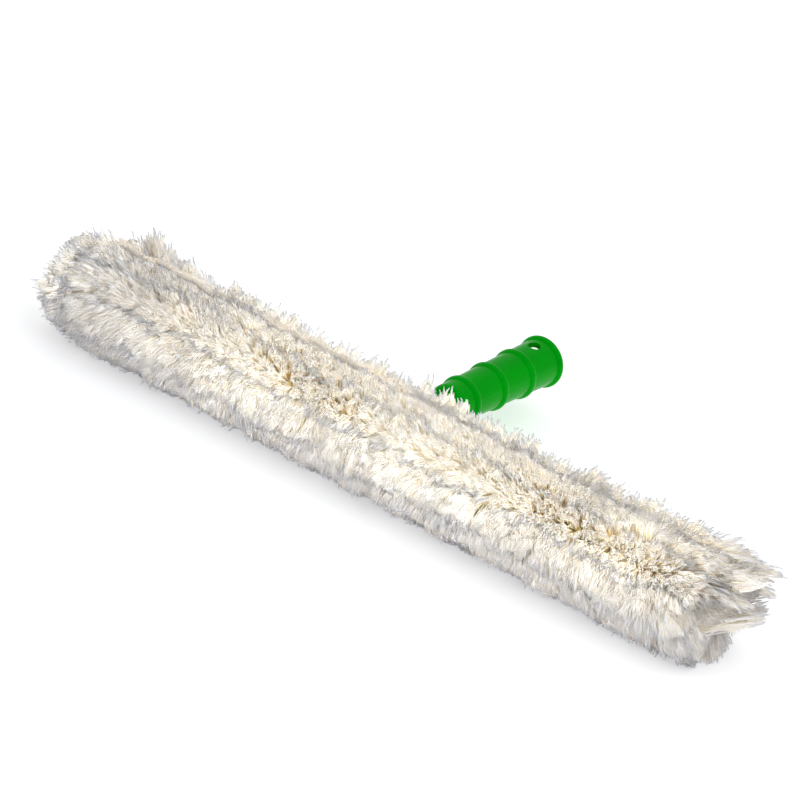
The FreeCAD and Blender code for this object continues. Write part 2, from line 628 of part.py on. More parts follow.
def make_pile():
    """Pile in three pieces: round the bar, the ridge behind the seam, and the closed right end."""
    envelope = new_body("pile_envelope")
    outline = [
        (PILE_LEFT, "0"),
        (
            PILE_LEFT,
            "pile_radius - pile_left_round",
            f"{PILE_LEFT} + pile_left_round",
            "pile_radius - pile_left_round",
            -1,
        ),
        (f"{PILE_LEFT} + pile_left_round", "pile_radius"),
        (
            f"{PILE_RIGHT} - pile_right_round",
            "pile_radius",
            f"{PILE_RIGHT} - pile_right_round",
            "pile_radius - pile_right_round",
            -1,
        ),
        (PILE_RIGHT, "pile_radius - pile_right_round"),
        (PILE_RIGHT, "0"),
    ]
    revolve(envelope, sketch_on(envelope, "pile_outline", "XY_Plane", loops=[outline]), "H_Axis")

    hollow = new_body("pile_hollow")
    loop = obround(grown(CLOTH_OUT, "pile_gap"))
    inside = f"{PANEL_RIGHT} - {PAST_LEFT}"
    pad(hollow, sketch_on(hollow, "hollow_loop", "YZ_Plane", PAST_LEFT, [loop]), inside)
    hem_room = new_body("hem_room")
    loop = obround(grown(HEM_OUT, "pile_gap"))
    mouth = f"{CLOTH_LEFT} + pile_gap - {PAST_LEFT}"
    pad(hem_room, sketch_on(hem_room, "hem_room_loop", "YZ_Plane", PAST_LEFT, [loop]), mouth)
    slot = new_body("pile_slot")
    loop = slot_loop(LINED_HALF)
    pad(slot, sketch_on(slot, "slot_outline", "XZ_Plane", loops=[loop]), CLEAR, flip=True)
    groove = new_body("pile_groove")
    vee = [
        ("fin_rear", "pile_radius - groove_deep"),
        ("fin_rear + groove_back", CLEAR),
        ("fin_rear - groove_front", CLEAR),
    ]
    pad(groove, sketch_on(groove, "groove_vee", "YZ_Plane", PAST_LEFT, [vee]), inside)
    ridge_form = new_body("ridge_form")
    swells = [(f"{share} * bar_length / 2", f"pile_radius - ({drop})") for share, drop in RIDGE_SWELLS]
    outline = [
        (PILE_LEFT, "0"),
        (PILE_LEFT, "pile_radius - pile_left_round"),
        *swells,
        (PAST_RIGHT, "pile_radius"),
        (PAST_RIGHT, "0"),
    ]
    revolve(ridge_form, sketch_on(ridge_form, "ridge_outline", "XY_Plane", loops=[outline]), "H_Axis")
    end_notch = new_body("end_notch")
    lips = [
        (f"{PILE_RIGHT} - end_notch_deep", "-end_notch_low"),
        (PAST_RIGHT, "-end_notch_low - end_notch_fall"),
        (PAST_RIGHT, "-end_notch_low + end_notch_rise"),
    ]
    across = sketch_on(end_notch, "end_notch_lips", "XZ_Plane", f"-{CLEAR}", [lips])
    pad(end_notch, across, f"2 * {CLEAR}")
    hollows = pile_hollows()

    low = f"-{CLEAR}"
    below = box("pile_below", (PAST_LEFT, low, low), (PAST_RIGHT, CLEAR, f"-{BAR_HEIGHT}"))
    beyond = box("pile_beyond", (PANEL_RIGHT, low, low), (PAST_RIGHT, CLEAR, CLEAR))
    rear_top = box("pile_rear_top", (PAST_LEFT, FIN_FRONT, LINED_HALF), (PANEL_RIGHT, CLEAR, CLEAR))
    ridge_room = box("ridge_room", (PAST_LEFT, FIN_BACK, LINED_HALF), (PANEL_RIGHT, CLEAR, CLEAR))

    main_tools = [hollow, hem_room, slot, groove, below, beyond, rear_top, *hollows]
    keep(cut("pile_main", envelope, joined("main_tools", main_tools)), "pile_main")
    ridge_tools = joined("ridge_tools", [hollow, hem_room, groove])
    ridge_blank = shared("ridge_blank", ridge_form, ridge_room)
    keep(cut("pile_ridge", ridge_blank, ridge_tools), "pile_ridge")
    end_blank = shared("end_blank", envelope, beyond)
    end_tools = joined("end_tools", [below, end_notch, *hollows])
    keep(cut("pile_right_end", end_blank, end_tools), "pile_right_end")


def check_and_write():
    """Stop on any failed object or bad solid, then write each piece to its own file."""
    doc.recompute()
    for thing in doc.Objects:
        if {"Invalid", "Error"} & set(thing.State):
            raise RuntimeError(f"{thing.Label} failed: {thing.State}")
    for piece in pieces:
        if piece.Shape.isNull() or not piece.Shape.isValid() or not piece.Shape.Solids:
            raise RuntimeError(piece.Label + " has no valid solid")
    os.makedirs("parts", exist_ok=True)
    for piece in pieces:
        piece.Shape.exportStep(f"parts/{piece.Label}.step")
        box_of = piece.Shape.optimalBoundingBox()
        print(f"{piece.Label}: {len(piece.Shape.Solids)} solid, {piece.Shape.Volume:.1f} mm3, "
              f"x {box_of.XMin:.1f} to {box_of.XMax:.1f}, y {box_of.YMin:.1f} to {box_of.YMax:.1f}, "
              f"z {box_of.ZMin:.1f} to {box_of.ZMax:.1f}")


make_crossbar()
make_tee_core()
make_neck_seat()
make_handle_grip()
make_handle_bolt()
make_bolt_insert()
make_dowels()
make_end_plug("end_plug_left", -1)
make_end_plug("end_plug_right", 1)
make_rivets()
make_sleeve_cloth()
make_mouth_hem()
make_end_panel()
make_closure_strips()
make_neck_gusset()
make_seams()
make_pile()
check_and_write()
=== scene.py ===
"""Window scrubber: a pull-off pile sleeve on a T-bar with a ringed green socket handle."""

import logging
import math
from dataclasses import dataclass, field
from enum import Enum
from itertools import pairwise

import bmesh
import bpy
import numpy as np
from mathutils import Matrix, Vector
from mathutils.bvhtree import BVHTree


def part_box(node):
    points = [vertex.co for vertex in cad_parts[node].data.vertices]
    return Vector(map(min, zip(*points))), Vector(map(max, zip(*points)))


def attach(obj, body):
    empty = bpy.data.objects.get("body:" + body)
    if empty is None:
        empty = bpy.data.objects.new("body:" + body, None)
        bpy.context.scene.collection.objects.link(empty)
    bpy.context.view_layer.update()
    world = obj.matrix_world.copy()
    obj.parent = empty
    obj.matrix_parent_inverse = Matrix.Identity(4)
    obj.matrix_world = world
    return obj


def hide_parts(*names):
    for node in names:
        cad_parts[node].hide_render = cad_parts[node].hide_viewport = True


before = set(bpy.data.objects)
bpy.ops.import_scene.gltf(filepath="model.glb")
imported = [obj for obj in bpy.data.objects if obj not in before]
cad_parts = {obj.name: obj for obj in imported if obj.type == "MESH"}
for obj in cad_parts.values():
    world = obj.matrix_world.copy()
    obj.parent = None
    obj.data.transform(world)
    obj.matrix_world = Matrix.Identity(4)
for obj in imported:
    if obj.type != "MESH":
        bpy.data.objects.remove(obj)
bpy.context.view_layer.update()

LOG = logging.getLogger("window_scrubber")
MM = 0.001
TINY = 1e-6
MERGE_DISTANCE = 1e-7
SLEEVE_BODY = "sleeve"
RING_SIDES = 64
SHARP = math.radians(60)

Triple = tuple[float, float, float]
Colour = Triple
Span = tuple[float, float]
Piece = bpy.types.Object
Socket = bpy.types.NodeSocket
Material = bpy.types.Material


class Slot(Enum):
    """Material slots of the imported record."""

    GREEN = "green_plastic"
    BAR = "bar_aluminium"
    CORE = "core_plastic"
    BOLT = "bolt_steel"
    INSERT = "insert_brass"
    PLUG = "plug_plastic"
    RIVET = "rivet_aluminium"
    CLOTH = "backing_cloth"
    TAPE = "closing_tape"
    YARN = "pile_yarn"


class FinishGraph:
    """Node tree of one finish, with short calls for the nodes that finishes share."""

    # Sockets of the Mix node that carry colours
    MIX_BASE = 6
    MIX_OVER = 7
    MIX_RESULT = 2

    # A wave texture repeats this many times in a metre at a scale of one
    WAVES_AT_ONE = 10.0 / math.pi

    def __init__(self, name: str) -> None:
        """Starts a material that holds one Principled shader.

        Args:
            name: The material's name.
        """
        self.material = bpy.data.materials.new(name)
        self.material.use_nodes = True
        self.tree = self.material.node_tree
        self.shader = self.tree.nodes["Principled BSDF"]

    def node(self, kind: str, **settings: object) -> bpy.types.Node:
        """Adds a node.

        Args:
            kind: The node's type name without its ShaderNode prefix.
            settings: Node properties to set.

        Returns:
            The new node.
        """
        made = self.tree.nodes.new("ShaderNode" + kind)
        for key, value in settings.items():
            setattr(made, key, value)
        return made

    def link(self, source: Socket, target: Socket) -> None:
        """Joins an output to an input."""
        self.tree.links.new(source, target)

    def set(self, **values: object) -> None:
        """Sets shader sockets to even values, with underscores for the spaces in their names."""
        for key, value in values.items():
            self.shader.inputs[key.replace("_", " ")].default_value = value

    def place(self, stretch: Triple = (1.0, 1.0, 1.0)) -> Socket:
        """Object coordinates, stretched along each axis.

        Args:
            stretch: Factor on each coordinate.

        Returns:
            The coordinate socket.
        """
        mapping = self.node("Mapping")
        mapping.inputs["Scale"].default_value = stretch
        self.link(self.node("TexCoord").outputs["Object"], mapping.inputs["Vector"])
        return mapping.outputs["Vector"]

    def attribute(self, name: str) -> Socket:
        """The value of a mesh attribute."""
        return self.node("Attribute", attribute_name=name).outputs["Fac"]

    def noise(self, pitch: float, where: Socket, detail: float = 3.0) -> Socket:
        """Cloudy noise.

        Args:
            pitch: Size of a cloud in metres.
            where: Coordinates.
            detail: Octaves of finer noise.

        Returns:
            The noise value, from 0 to 1.
        """
        made = self.node("TexNoise")
        made.inputs["Scale"].default_value = 1.0 / pitch
        made.inputs["Detail"].default_value = detail
        self.link(where, made.inputs["Vector"])
        return made.outputs["Fac"]

    def bands(self, pitch: float, where: Socket, axis: str) -> Socket:
        """Even ridges across one axis, a pitch apart."""
        made = self.node("TexWave", wave_type="BANDS", bands_direction=axis, wave_profile="SIN")
        made.inputs["Scale"].default_value = 1.0 / self.WAVES_AT_ONE / pitch
        self.link(where, made.inputs["Vector"])
        return made.outputs["Fac"]

    def ramp(self, value: Socket, stops: list[tuple[float, Colour]]) -> Socket:
        """Turns a value into a colour.

        Args:
            value: The value, from 0 to 1.
            stops: Places and linear colours, in rising order.

        Returns:
            The colour socket.
        """
        made = self.node("ValToRGB")
        elements = made.color_ramp.elements
        while len(elements) < len(stops):
            elements.new(0.5)
        for element, (place, colour) in zip(elements, stops, strict=True):
            element.position = place
            element.color = (*colour, 1.0)
        self.link(value, made.inputs["Fac"])
        return made.outputs["Color"]

    def span(self, value: Socket, low: float, high: float) -> Socket:
        """Spreads a value from 0 to 1 over another range."""
        made = self.node("MapRange")
        made.inputs["To Min"].default_value = low
        made.inputs["To Max"].default_value = high
        self.link(value, made.inputs["Value"])
        return made.outputs["Result"]

    def product(self, first: Socket, second: Socket) -> Socket:
        """Multiplies two values."""
        made = self.node("Math", operation="MULTIPLY")
        self.link(first, made.inputs[0])
        self.link(second, made.inputs[1])
        return made.outputs["Value"]

    def tinted(self, base: Socket, over: Colour, share: Socket) -> Socket:
        """Mixes a plain colour into another one.

        Args:
            base: The colour that it goes into.
            over: The plain colour.
            share: Share of the plain colour.

        Returns:
            The mixed colour.
        """
        made = self.node("Mix", data_type="RGBA")
        self.link(share, made.inputs["Factor"])
        self.link(base, made.inputs[self.MIX_BASE])
        made.inputs[self.MIX_OVER].default_value = (*over, 1.0)
        return made.outputs[self.MIX_RESULT]

    def bump(self, height: Socket, depth: float) -> None:
        """Dents the shader's normal.

        Args:
            height: Height, from 0 to 1.
            depth: Height of a full step in metres.
        """
        made = self.node("Bump")
        made.inputs["Distance"].default_value = depth
        made.inputs["Strength"].default_value = 1.0
        self.link(height, made.inputs["Height"])
        self.link(made.outputs["Normal"], self.shader.inputs["Normal"])

    def soften(self, reach: Colour, depth: float) -> None:
        """Lets light go into the fibres and come out beside.

        Args:
            reach: How far red, green and blue go, as shares of the depth.
            depth: How far the light goes in metres.
        """
        self.shader.subsurface_method = "BURLEY"
        self.set(Subsurface_Weight=1.0, Subsurface_Radius=reach, Subsurface_Scale=depth)

    def colour(self, source: Socket) -> None:
        """Feeds the shader's base colour."""
        self.link(source, self.shader.inputs["Base Color"])

    def roughness(self, source: Socket) -> None:
        """Feeds the shader's roughness."""
        self.link(source, self.shader.inputs["Roughness"])


@dataclass(frozen=True)
class YarnFinish:
    """Cut pile yarn: golden at the root, cream along its length and near white at the tip; the golden root
    is partly the yarn's own cream and partly painted warm shade for the gaps between strands.
    """

    # Golden root: partly the yarn's own cream, partly painted warm shade deep between strands
    root: Colour = (0.99, 0.87, 0.55)
    middle: Colour = (0.975, 0.945, 0.865)
    tip: Colour = (0.95, 0.945, 0.945)
    # Grey that the tone mixes in: the yarn's random tone and the painted shade that the pile's tone sets
    grey_and_shade: Colour = (0.62, 0.61, 0.63)
    glow: Colour = (1.0, 0.85, 0.6)
    glow_depth: float = 4.5 * MM

    def make(self) -> Material:
        """Builds the material from each strand's length and tone; the tone mixes in grey, which carries
        painted shade.
        """
        graph = FinishGraph("pile_yarn")
        along = graph.attribute("along")
        body = graph.ramp(along, [(0.3, self.root), (0.65, self.middle), (0.92, self.tip)])
        graph.colour(graph.tinted(body, self.grey_and_shade, graph.attribute("tone")))
        graph.set(Roughness=0.82, Specular_IOR_Level=0.15)
        graph.soften(self.glow, self.glow_depth)
        return graph.material


@dataclass(frozen=True)
class FeltFinish:
    """Matted roots of the pile, golden cream, with painted shade in darker pits where the bump is low."""

    # Painted shade: the pits darken with the same noise that dents the bump
    pit_shade: Colour = (0.66, 0.46, 0.18)
    crown: Colour = (0.84, 0.70, 0.42)
    pitch: float = 1.6 * MM
    depth: float = 1.2 * MM

    def make(self) -> Material:
        """Builds the material."""
        graph = FinishGraph("pile_roots")
        clumps = graph.noise(self.pitch, graph.place(), detail=4.0)
        graph.colour(graph.ramp(clumps, [(0.3, self.pit_shade), (0.65, self.crown)]))
        graph.bump(clumps, self.depth)
        graph.set(Roughness=0.95, Specular_IOR_Level=0.1)
        return graph.material


@dataclass(frozen=True)
class KnitFinish:
    """Backing cloth: fine ribs crossed by courses, cream with slubs, with painted shade in the weave's
    valleys.
    """

    name: str = "backing_knit"
    # Painted shade: the valleys darken with the same weave that raises the bump
    valley_shade: Colour = (0.93, 0.86, 0.77)
    crown: Colour = (0.98, 0.95, 0.90)
    slub: Colour = (0.98, 0.96, 0.92)
    pitch: float = 0.9 * MM
    slub_pitch: float = 5.0 * MM
    depth: float = 0.25 * MM
    glow: Colour = (1.0, 0.9, 0.75)
    glow_depth: float = 4.0 * MM

    def make(self) -> Material:
        """Builds the material."""
        graph = FinishGraph(self.name)
        where = graph.place()
        ribs = graph.span(graph.bands(self.pitch, where, "X"), 0.45, 1.0)
        courses = graph.span(graph.bands(self.pitch, where, "Z"), 0.55, 1.0)
        weave = graph.product(ribs, courses)
        yarn = graph.ramp(weave, [(0.2, self.valley_shade), (0.85, self.crown)])
        slubs = graph.noise(self.slub_pitch, graph.place((0.25, 1.0, 1.0)), detail=5.0)
        graph.colour(graph.tinted(yarn, self.slub, graph.span(slubs, -0.3, 0.9)))
        graph.bump(weave, self.depth)
        graph.set(Roughness=0.9, Specular_IOR_Level=0.15, Sheen_Weight=0.2)
        graph.soften(self.glow, self.glow_depth)
        return graph.material


@dataclass(frozen=True)
class ThreadFinish:
    """Sewing thread and nap, pale with a slow change of tone from one to the next."""

    light: Colour = (0.96, 0.91, 0.84)
    deep: Colour = (0.84, 0.74, 0.60)
    twist_pitch: float = 0.4 * MM
    twist_depth: float = 0.08 * MM
    glow: Colour = (1.0, 0.9, 0.75)
    glow_depth: float = 4.0 * MM

    def make(self) -> Material:
        """Builds the material."""
        graph = FinishGraph("sewing_thread")
        graph.colour(graph.ramp(graph.attribute("tone"), [(0.0, self.light), (0.8, self.deep)]))
        twist = graph.bands(self.twist_pitch, graph.place((1.0, 0.5, 0.5)), "DIAGONAL")
        graph.bump(twist, self.twist_depth)
        graph.set(Roughness=0.7, Specular_IOR_Level=0.25)
        graph.soften(self.glow, self.glow_depth)
        return graph.material


@dataclass(frozen=True)
class MouldedPlastic:
    """Injection-moulded plastic: even colour with faint flow marks and a fine grain."""

    name: str
    base: Colour
    shade: Colour
    rough: Span
    specular: float = 0.5
    tint: Colour = (1.0, 1.0, 1.0)
    flow_pitch: float = 14.0 * MM
    scuff_pitch: float = 2.2 * MM
    grain_pitch: float = 0.5 * MM
    grain_depth: float = 0.012 * MM

    def make(self) -> Material:
        """Builds the material."""
        graph = FinishGraph(self.name)
        flow = graph.noise(self.flow_pitch, graph.place((1.0, 0.3, 1.0)), detail=4.0)
        graph.colour(graph.ramp(flow, [(0.3, self.shade), (0.62, self.base)]))
        scuffs = graph.noise(self.scuff_pitch, graph.place((1.0, 0.2, 1.0)), detail=6.0)
        graph.roughness(graph.span(scuffs, *self.rough))
        graph.bump(graph.noise(self.grain_pitch, graph.place(), detail=2.0), self.grain_depth)
        graph.set(Specular_IOR_Level=self.specular, Specular_Tint=(*self.tint, 1.0))
        return graph.material


class Grain(Enum):
    """Which way a metal's fine lines run: factors on its coordinates."""

    ALONG_X = (0.02, 1.0, 1.0)
    ALONG_Y = (1.0, 0.05, 1.0)
    ALONG_Z = (1.0, 1.0, 0.05)


@dataclass(frozen=True)
class DrawnMetal:
    """Drawn or turned metal with fine lines along one axis."""

    name: str
    base: Colour
    dull: Colour
    rough: Span
    grain: Grain
    line_pitch: float = 0.35 * MM
    line_depth: float = 0.01 * MM
    cloud_pitch: float = 22.0 * MM

    def make(self) -> Material:
        """Builds the material."""
        graph = FinishGraph(self.name)
        lines = graph.noise(self.line_pitch, graph.place(self.grain.value))
        clouds = graph.noise(self.cloud_pitch, graph.place(), detail=4.0)
        graph.colour(graph.ramp(clouds, [(0.35, self.dull), (0.65, self.base)]))
        graph.roughness(graph.span(lines, *self.rough))
        graph.bump(lines, self.line_depth)
        graph.set(Metallic=1.0)
        return graph.material


@dataclass(frozen=True)
class FloorFinish:
    """Pale matt studio floor."""

    low: Colour = (0.90, 0.90, 0.90)
    high: Colour = (0.93, 0.93, 0.93)
    glow: float = 0.40
    pitch: float = 0.4

    def make(self) -> Material:
        """Builds the material."""
        graph = FinishGraph("studio_floor")
        graph.colour(graph.ramp(graph.noise(self.pitch, graph.place()), [(0.3, self.low), (0.7, self.high)]))
        graph.set(Roughness=0.9, Specular_IOR_Level=0.1, Emission_Strength=self.glow)
        graph.set(Emission_Color=(1.0, 1.0, 1.0, 1.0))
        return graph.material


def dress(piece: Piece, material: Material) -> None:
    """Gives a piece one finish."""
    piece.data.materials.clear()
    piece.data.materials.append(material)


def on_sleeve(piece: Piece, material: Material, slot: Slot, *stands_for: str) -> Piece:
    """Dresses a piece and hangs it on the sleeve.

    Args:
        piece: The piece, in place.
        material: Its finish.
        slot: Not used.
        stands_for: Solids of the frame that it replaces.

    Returns:
        The piece.
    """
    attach(piece, SLEEVE_BODY)
    dress(piece, material)
    if stands_for:
        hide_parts(*stands_for)
    LOG.info("%s: %d faces on %s", piece.name, len(piece.data.polygons), SLEEVE_BODY)
    return piece


def new_piece(name: str, mesh: bpy.types.Mesh) -> Piece:
    """Links a mesh into the scene as an object at the origin."""
    mesh.name = name
    piece = bpy.data.objects.new(name, mesh)
    bpy.context.scene.collection.objects.link(piece)
    return piece


def piece_from(name: str, bm: bmesh.types.BMesh) -> Piece:
    """Turns a bmesh into a smoothly shaded object.

    Args:
        name: The piece's name.
        bm: The shape, which is freed.

    Returns:
        The new object.
    """
    for face in bm.faces:
        face.smooth = True
    mesh = bpy.data.meshes.new(name)
    bm.to_mesh(mesh)
    bm.free()
    return new_piece(name, mesh)


def share_of(distance: np.ndarray, span: float) -> np.ndarray:
    """How much of a span a distance covers, from 0 to 1."""
    return np.clip(distance / span, 0, 1)


def half_turn(angle: np.ndarray) -> np.ndarray:
    """Angles brought between minus and plus half a turn."""
    return (angle + np.pi) % (2 * np.pi) - np.pi


@dataclass(frozen=True)
class SleevePlan:
    """Where the sleeve's cloth, slot and seam lie, read from the frame."""

    axis_z: float
    left: float
    right: float
    half_flat: float
    radius: float
    slot_half: float
    slot_end: float
    seam_y: float
    seam_top: float
    reach: float
    pile_left: float
    pile_right: float

    @classmethod
    def from_frame(cls) -> "SleevePlan":
        """Reads the solids' boxes."""
        cloth_low, cloth_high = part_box("sleeve_cloth")
        bar_low, bar_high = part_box("crossbar")
        axis_z = (bar_low.z + bar_high.z) / 2
        radius = (cloth_high.z - cloth_low.z) / 2
        seam_low, seam_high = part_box("sewn_seam")
        pile_low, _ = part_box("pile_main")
        _, end_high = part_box("pile_right_end")
        return cls(
            axis_z=axis_z,
            left=cloth_low.x,
            right=cloth_high.x,
            half_flat=-cloth_low.y - radius,
            radius=radius,
            slot_half=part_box("hook_strip")[0].z - axis_z,
            slot_end=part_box("neck_gusset")[1].x,
            seam_y=(seam_low.y + seam_high.y) / 2,
            seam_top=seam_high.z,
            reach=-pile_low.y,
            pile_left=pile_low.x,
            pile_right=end_high.x,
        )

    def edge(self, turn: np.ndarray, rise: float = 0.0) -> np.ndarray:
        """Distance of the cloth from the bar's axis.

        Args:
            turn: Angles from the top towards the front, in radians.
            rise: Height above the cloth.

        Returns:
            The distances in metres.
        """
        radius = self.radius + rise
        across, up = np.abs(np.sin(turn)), np.abs(np.cos(turn))
        on_arc = self.half_flat * across + np.sqrt(np.maximum(radius**2 - (self.half_flat * up) ** 2, 0.0))
        return np.where(radius * across <= self.half_flat * up, radius / np.maximum(up, TINY), on_arc)

    def spot(self, x: np.ndarray, turn: np.ndarray, away: np.ndarray) -> np.ndarray:
        """Points at a distance from the bar's axis.

        Args:
            x: Places along the bar.
            turn: Angles from the top towards the front.
            away: Distances from the axis.

        Returns:
            Points, one row each.
        """
        return np.stack([x, -away * np.sin(turn), self.axis_z + away * np.cos(turn)], axis=-1)

    def ring(self, x: float, rise: float, turn: float = 0.0, filled: bool = False) -> bmesh.types.BMesh:
        """Outline of the sleeve's section: a circle whose halves stand apart.

        Args:
            x: Its place along the bar.
            rise: Height above the cloth.
            turn: Angle of the first corner.
            filled: Whether a face closes it.

        Returns:
            The outline.
        """
        bm = bmesh.new()
        made = bmesh.ops.create_circle(bm, cap_ends=filled, segments=RING_SIDES, radius=self.radius + rise)
        upright = Matrix.Rotation(math.pi / 2, 4, "Y") @ Matrix.Rotation(turn, 4, "Z")
        bmesh.ops.transform(bm, matrix=upright, verts=made["verts"])
        for side in (-1, 1):
            half = [v for v in made["verts"] if v.co.y * side > TINY]
            bmesh.ops.translate(bm, vec=(0, side * self.half_flat, 0), verts=half)
        bmesh.ops.translate(bm, vec=(x, 0, self.axis_z), verts=bm.verts)
        return bm

    def tube(self, rise: float, left: float, right: float, steps: int) -> bmesh.types.BMesh:
        """Tube of the sleeve's section, open at its ends and along the slot.

        Args:
            rise: Height above the cloth.
            left: First end.
            right: Other end.
            steps: Lengths along the bar.

        Returns:
            The open tube.
        """
        bm = self.ring(left, rise, math.pi / RING_SIDES)
        draw_on(bm, list(bm.edges), (right - left) / steps, steps)
        for height in (-self.slot_half, self.slot_half):
            split(bm, (0, 0, self.axis_z + height), (0, 0, 1))
        split(bm, (self.slot_end, 0, 0), (1, 0, 0))
        gone = []
        for face in bm.faces:
            middle = face.calc_center_median()
            behind = middle.y > self.half_flat and middle.x < self.slot_end
            if behind and abs(middle.z - self.axis_z) < self.slot_half:
                gone.append(face)
        bmesh.ops.delete(bm, geom=gone, context="FACES")
        face_out(bm)
        return bm


def face_out(bm: bmesh.types.BMesh) -> None:
    """Turns all faces outwards."""
    bmesh.ops.recalc_face_normals(bm, faces=bm.faces)


def thicken(bm: bmesh.types.BMesh, wall: float) -> None:
    """Gives a surface its wall."""
    bmesh.ops.solidify(bm, geom=bm.faces, thickness=wall)


def split(bm: bmesh.types.BMesh, place: Triple, normal: Triple) -> None:
    """Cuts all faces along a plane and keeps both sides."""
    every = [*bm.verts, *bm.edges, *bm.faces]
    bmesh.ops.bisect_plane(bm, geom=every, plane_co=place, plane_no=normal)


def round_rims(bm: bmesh.types.BMesh, radius: float, segments: int) -> None:
    """Rounds the sharp edges."""
    rims = [e for e in bm.edges if e.calc_face_angle(0.0) > SHARP]
    bmesh.ops.bevel(
        bm, geom=rims, offset=radius, segments=segments, profile=0.5, affect="EDGES", material=-1
    )


def draw_on(bm: bmesh.types.BMesh, edges: list[bmesh.types.BMEdge], step: float, steps: int) -> None:
    """Draws edges on along the bar, step by step.

    Args:
        bm: The shape.
        edges: Its edges to start from.
        step: Length of a step.
        steps: How many steps.
    """
    for _ in range(steps):
        grown = bmesh.ops.extrude_edge_only(bm, edges=edges)["geom"]
        edges = [e for e in grown if isinstance(e, bmesh.types.BMEdge)]
        moved = [v for v in grown if isinstance(v, bmesh.types.BMVert)]
        bmesh.ops.translate(bm, vec=(step, 0, 0), verts=moved)


@dataclass(frozen=True)
class StrandSet:
    """Yarn strands: their centre lines, thickness and tone."""

    paths: np.ndarray
    radius: np.ndarray
    tone: np.ndarray

    def part(self, chosen: np.ndarray) -> "StrandSet":
        """The chosen strands only."""
        return StrandSet(self.paths[chosen], self.radius[chosen], self.tone[chosen])

    @staticmethod
    def joined(sets: list["StrandSet"]) -> "StrandSet":
        """All strands of several sets."""
        keys = ("paths", "radius", "tone")
        return StrandSet(*(np.concatenate([getattr(each, key) for each in sets]) for key in keys))


@dataclass(frozen=True)
class StrandMaker:
    """Turns centre lines into closed tubes of few faces, with their own map and attributes."""

    sides: int = 3
    steps: tuple[float, ...] = (0.0, 0.45, 0.88, 1.0)
    taper: tuple[float, ...] = (0.9, 1.0, 1.0, 0.55)
    cell_margin: float = 0.08
    disc_depth: float = 0.06

    def _section(self) -> Piece:
        """Outline of a strand's section, one unit from its middle."""
        outline = bpy.data.curves.new("strand_section", "CURVE")
        outline.dimensions = "2D"
        loop = outline.splines.new("POLY")
        loop.points.add(self.sides - 1)
        for index, corner in enumerate(loop.points):
            turn = 2 * math.pi * index / self.sides
            corner.co = (math.cos(turn), math.sin(turn), 0.0, 1.0)
        loop.use_cyclic_u = True
        holder = bpy.data.objects.new("strand_section", outline)
        bpy.context.scene.collection.objects.link(holder)
        return holder

    def mesh(self, name: str, strands: StrandSet) -> Piece:
        """Makes one piece of many strands.

        Args:
            name: The piece's name.
            strands: The strands, all with as many points as the taper has.

        Returns:
            The new object, with attributes along and tone.
        """
        curve = bpy.data.curves.new(name, "CURVE")
        curve.dimensions = "3D"
        section = self._section()
        curve.bevel_mode = "OBJECT"
        curve.bevel_object = section
        curve.use_fill_caps = True
        points = len(self.taper)
        for path, radius in zip(strands.paths, strands.radius, strict=True):
            spline = curve.splines.new("POLY")
            spline.points.add(points - 1)
            spline.points.foreach_set("co", np.c_[path, np.ones(points)].astype(np.float32).ravel())
            spline.points.foreach_set("radius", np.asarray(self.taper, np.float32) * radius)
        holder = bpy.data.objects.new(name + "_lines", curve)
        bpy.context.scene.collection.objects.link(holder)
        bpy.context.view_layer.update()
        mesh = bpy.data.meshes.new_from_object(holder.evaluated_get(bpy.context.evaluated_depsgraph_get()))
        for spent in (holder, section):
            line = spent.data
            bpy.data.objects.remove(spent)
            bpy.data.curves.remove(line)
        self._mark(mesh, strands)
        bm = bmesh.new()
        bm.from_mesh(mesh)
        bmesh.ops.remove_doubles(bm, verts=bm.verts, dist=MERGE_DISTANCE)
        bm.to_mesh(mesh)
        bm.free()
        return new_piece(name, mesh)

    def _mark(self, mesh: bpy.types.Mesh, strands: StrandSet) -> None:
        """Writes the attributes along and tone and a map with one small cell for each strand.

        Args:
            mesh: Tubes in spline order after their end discs in reverse order.
            strands: The strands.
        """
        tone = strands.tone
        count, sides, points = len(tone), self.sides, len(self.taper)
        discs = np.repeat(np.arange(count)[::-1], 2 * sides)
        owner = np.concatenate([discs, np.repeat(np.arange(count), sides * points)])
        ends = np.tile(np.repeat([1.0, 0.0], sides), count)
        walls = np.tile(np.repeat(self.steps, sides), count)
        along = np.concatenate([ends, walls])
        for key, values in (("along", along), ("tone", tone[owner])):
            mesh.attributes.new(key, "FLOAT", "POINT").data.foreach_set("value", values.astype(np.float32))
        side = np.tile(np.arange(sides), len(owner) // sides).astype(float)
        corner = np.zeros(len(mesh.loops), int)
        mesh.loops.foreach_get("vertex_index", corner)
        start = np.zeros(len(mesh.polygons), int)
        mesh.polygons.foreach_get("loop_start", start)
        across = side[corner]
        face = np.repeat(np.arange(len(start)), np.diff(np.append(start, len(corner))))
        highest = np.maximum.reduceat(across, start)[face]
        lowest = np.minimum.reduceat(across, start)[face]
        in_disc = corner < len(discs)
        wraps = ~in_disc & (highest == sides - 1) & (lowest == 0) & (across == 0)
        across = np.where(wraps, sides, across) / sides
        high = along[corner]
        flip = np.where(high > 0.5, -1.0, 1.0)
        high = np.where(in_disc, high + flip * self.disc_depth * (1 + side[corner] % 2), high)
        cells = math.ceil(math.sqrt(count))
        column, row = owner[corner] % cells, owner[corner] // cells
        inner = 1 - 2 * self.cell_margin
        across = (column + self.cell_margin + inner * across) / cells
        high = (row + self.cell_margin + inner * high) / cells
        layer = mesh.uv_layers.new(name="OFBake")
        layer.data.foreach_set("uv", np.stack([across, high], 1).astype(np.float32).ravel())
        mesh.uv_layers.remove(mesh.uv_layers["UVMap"])


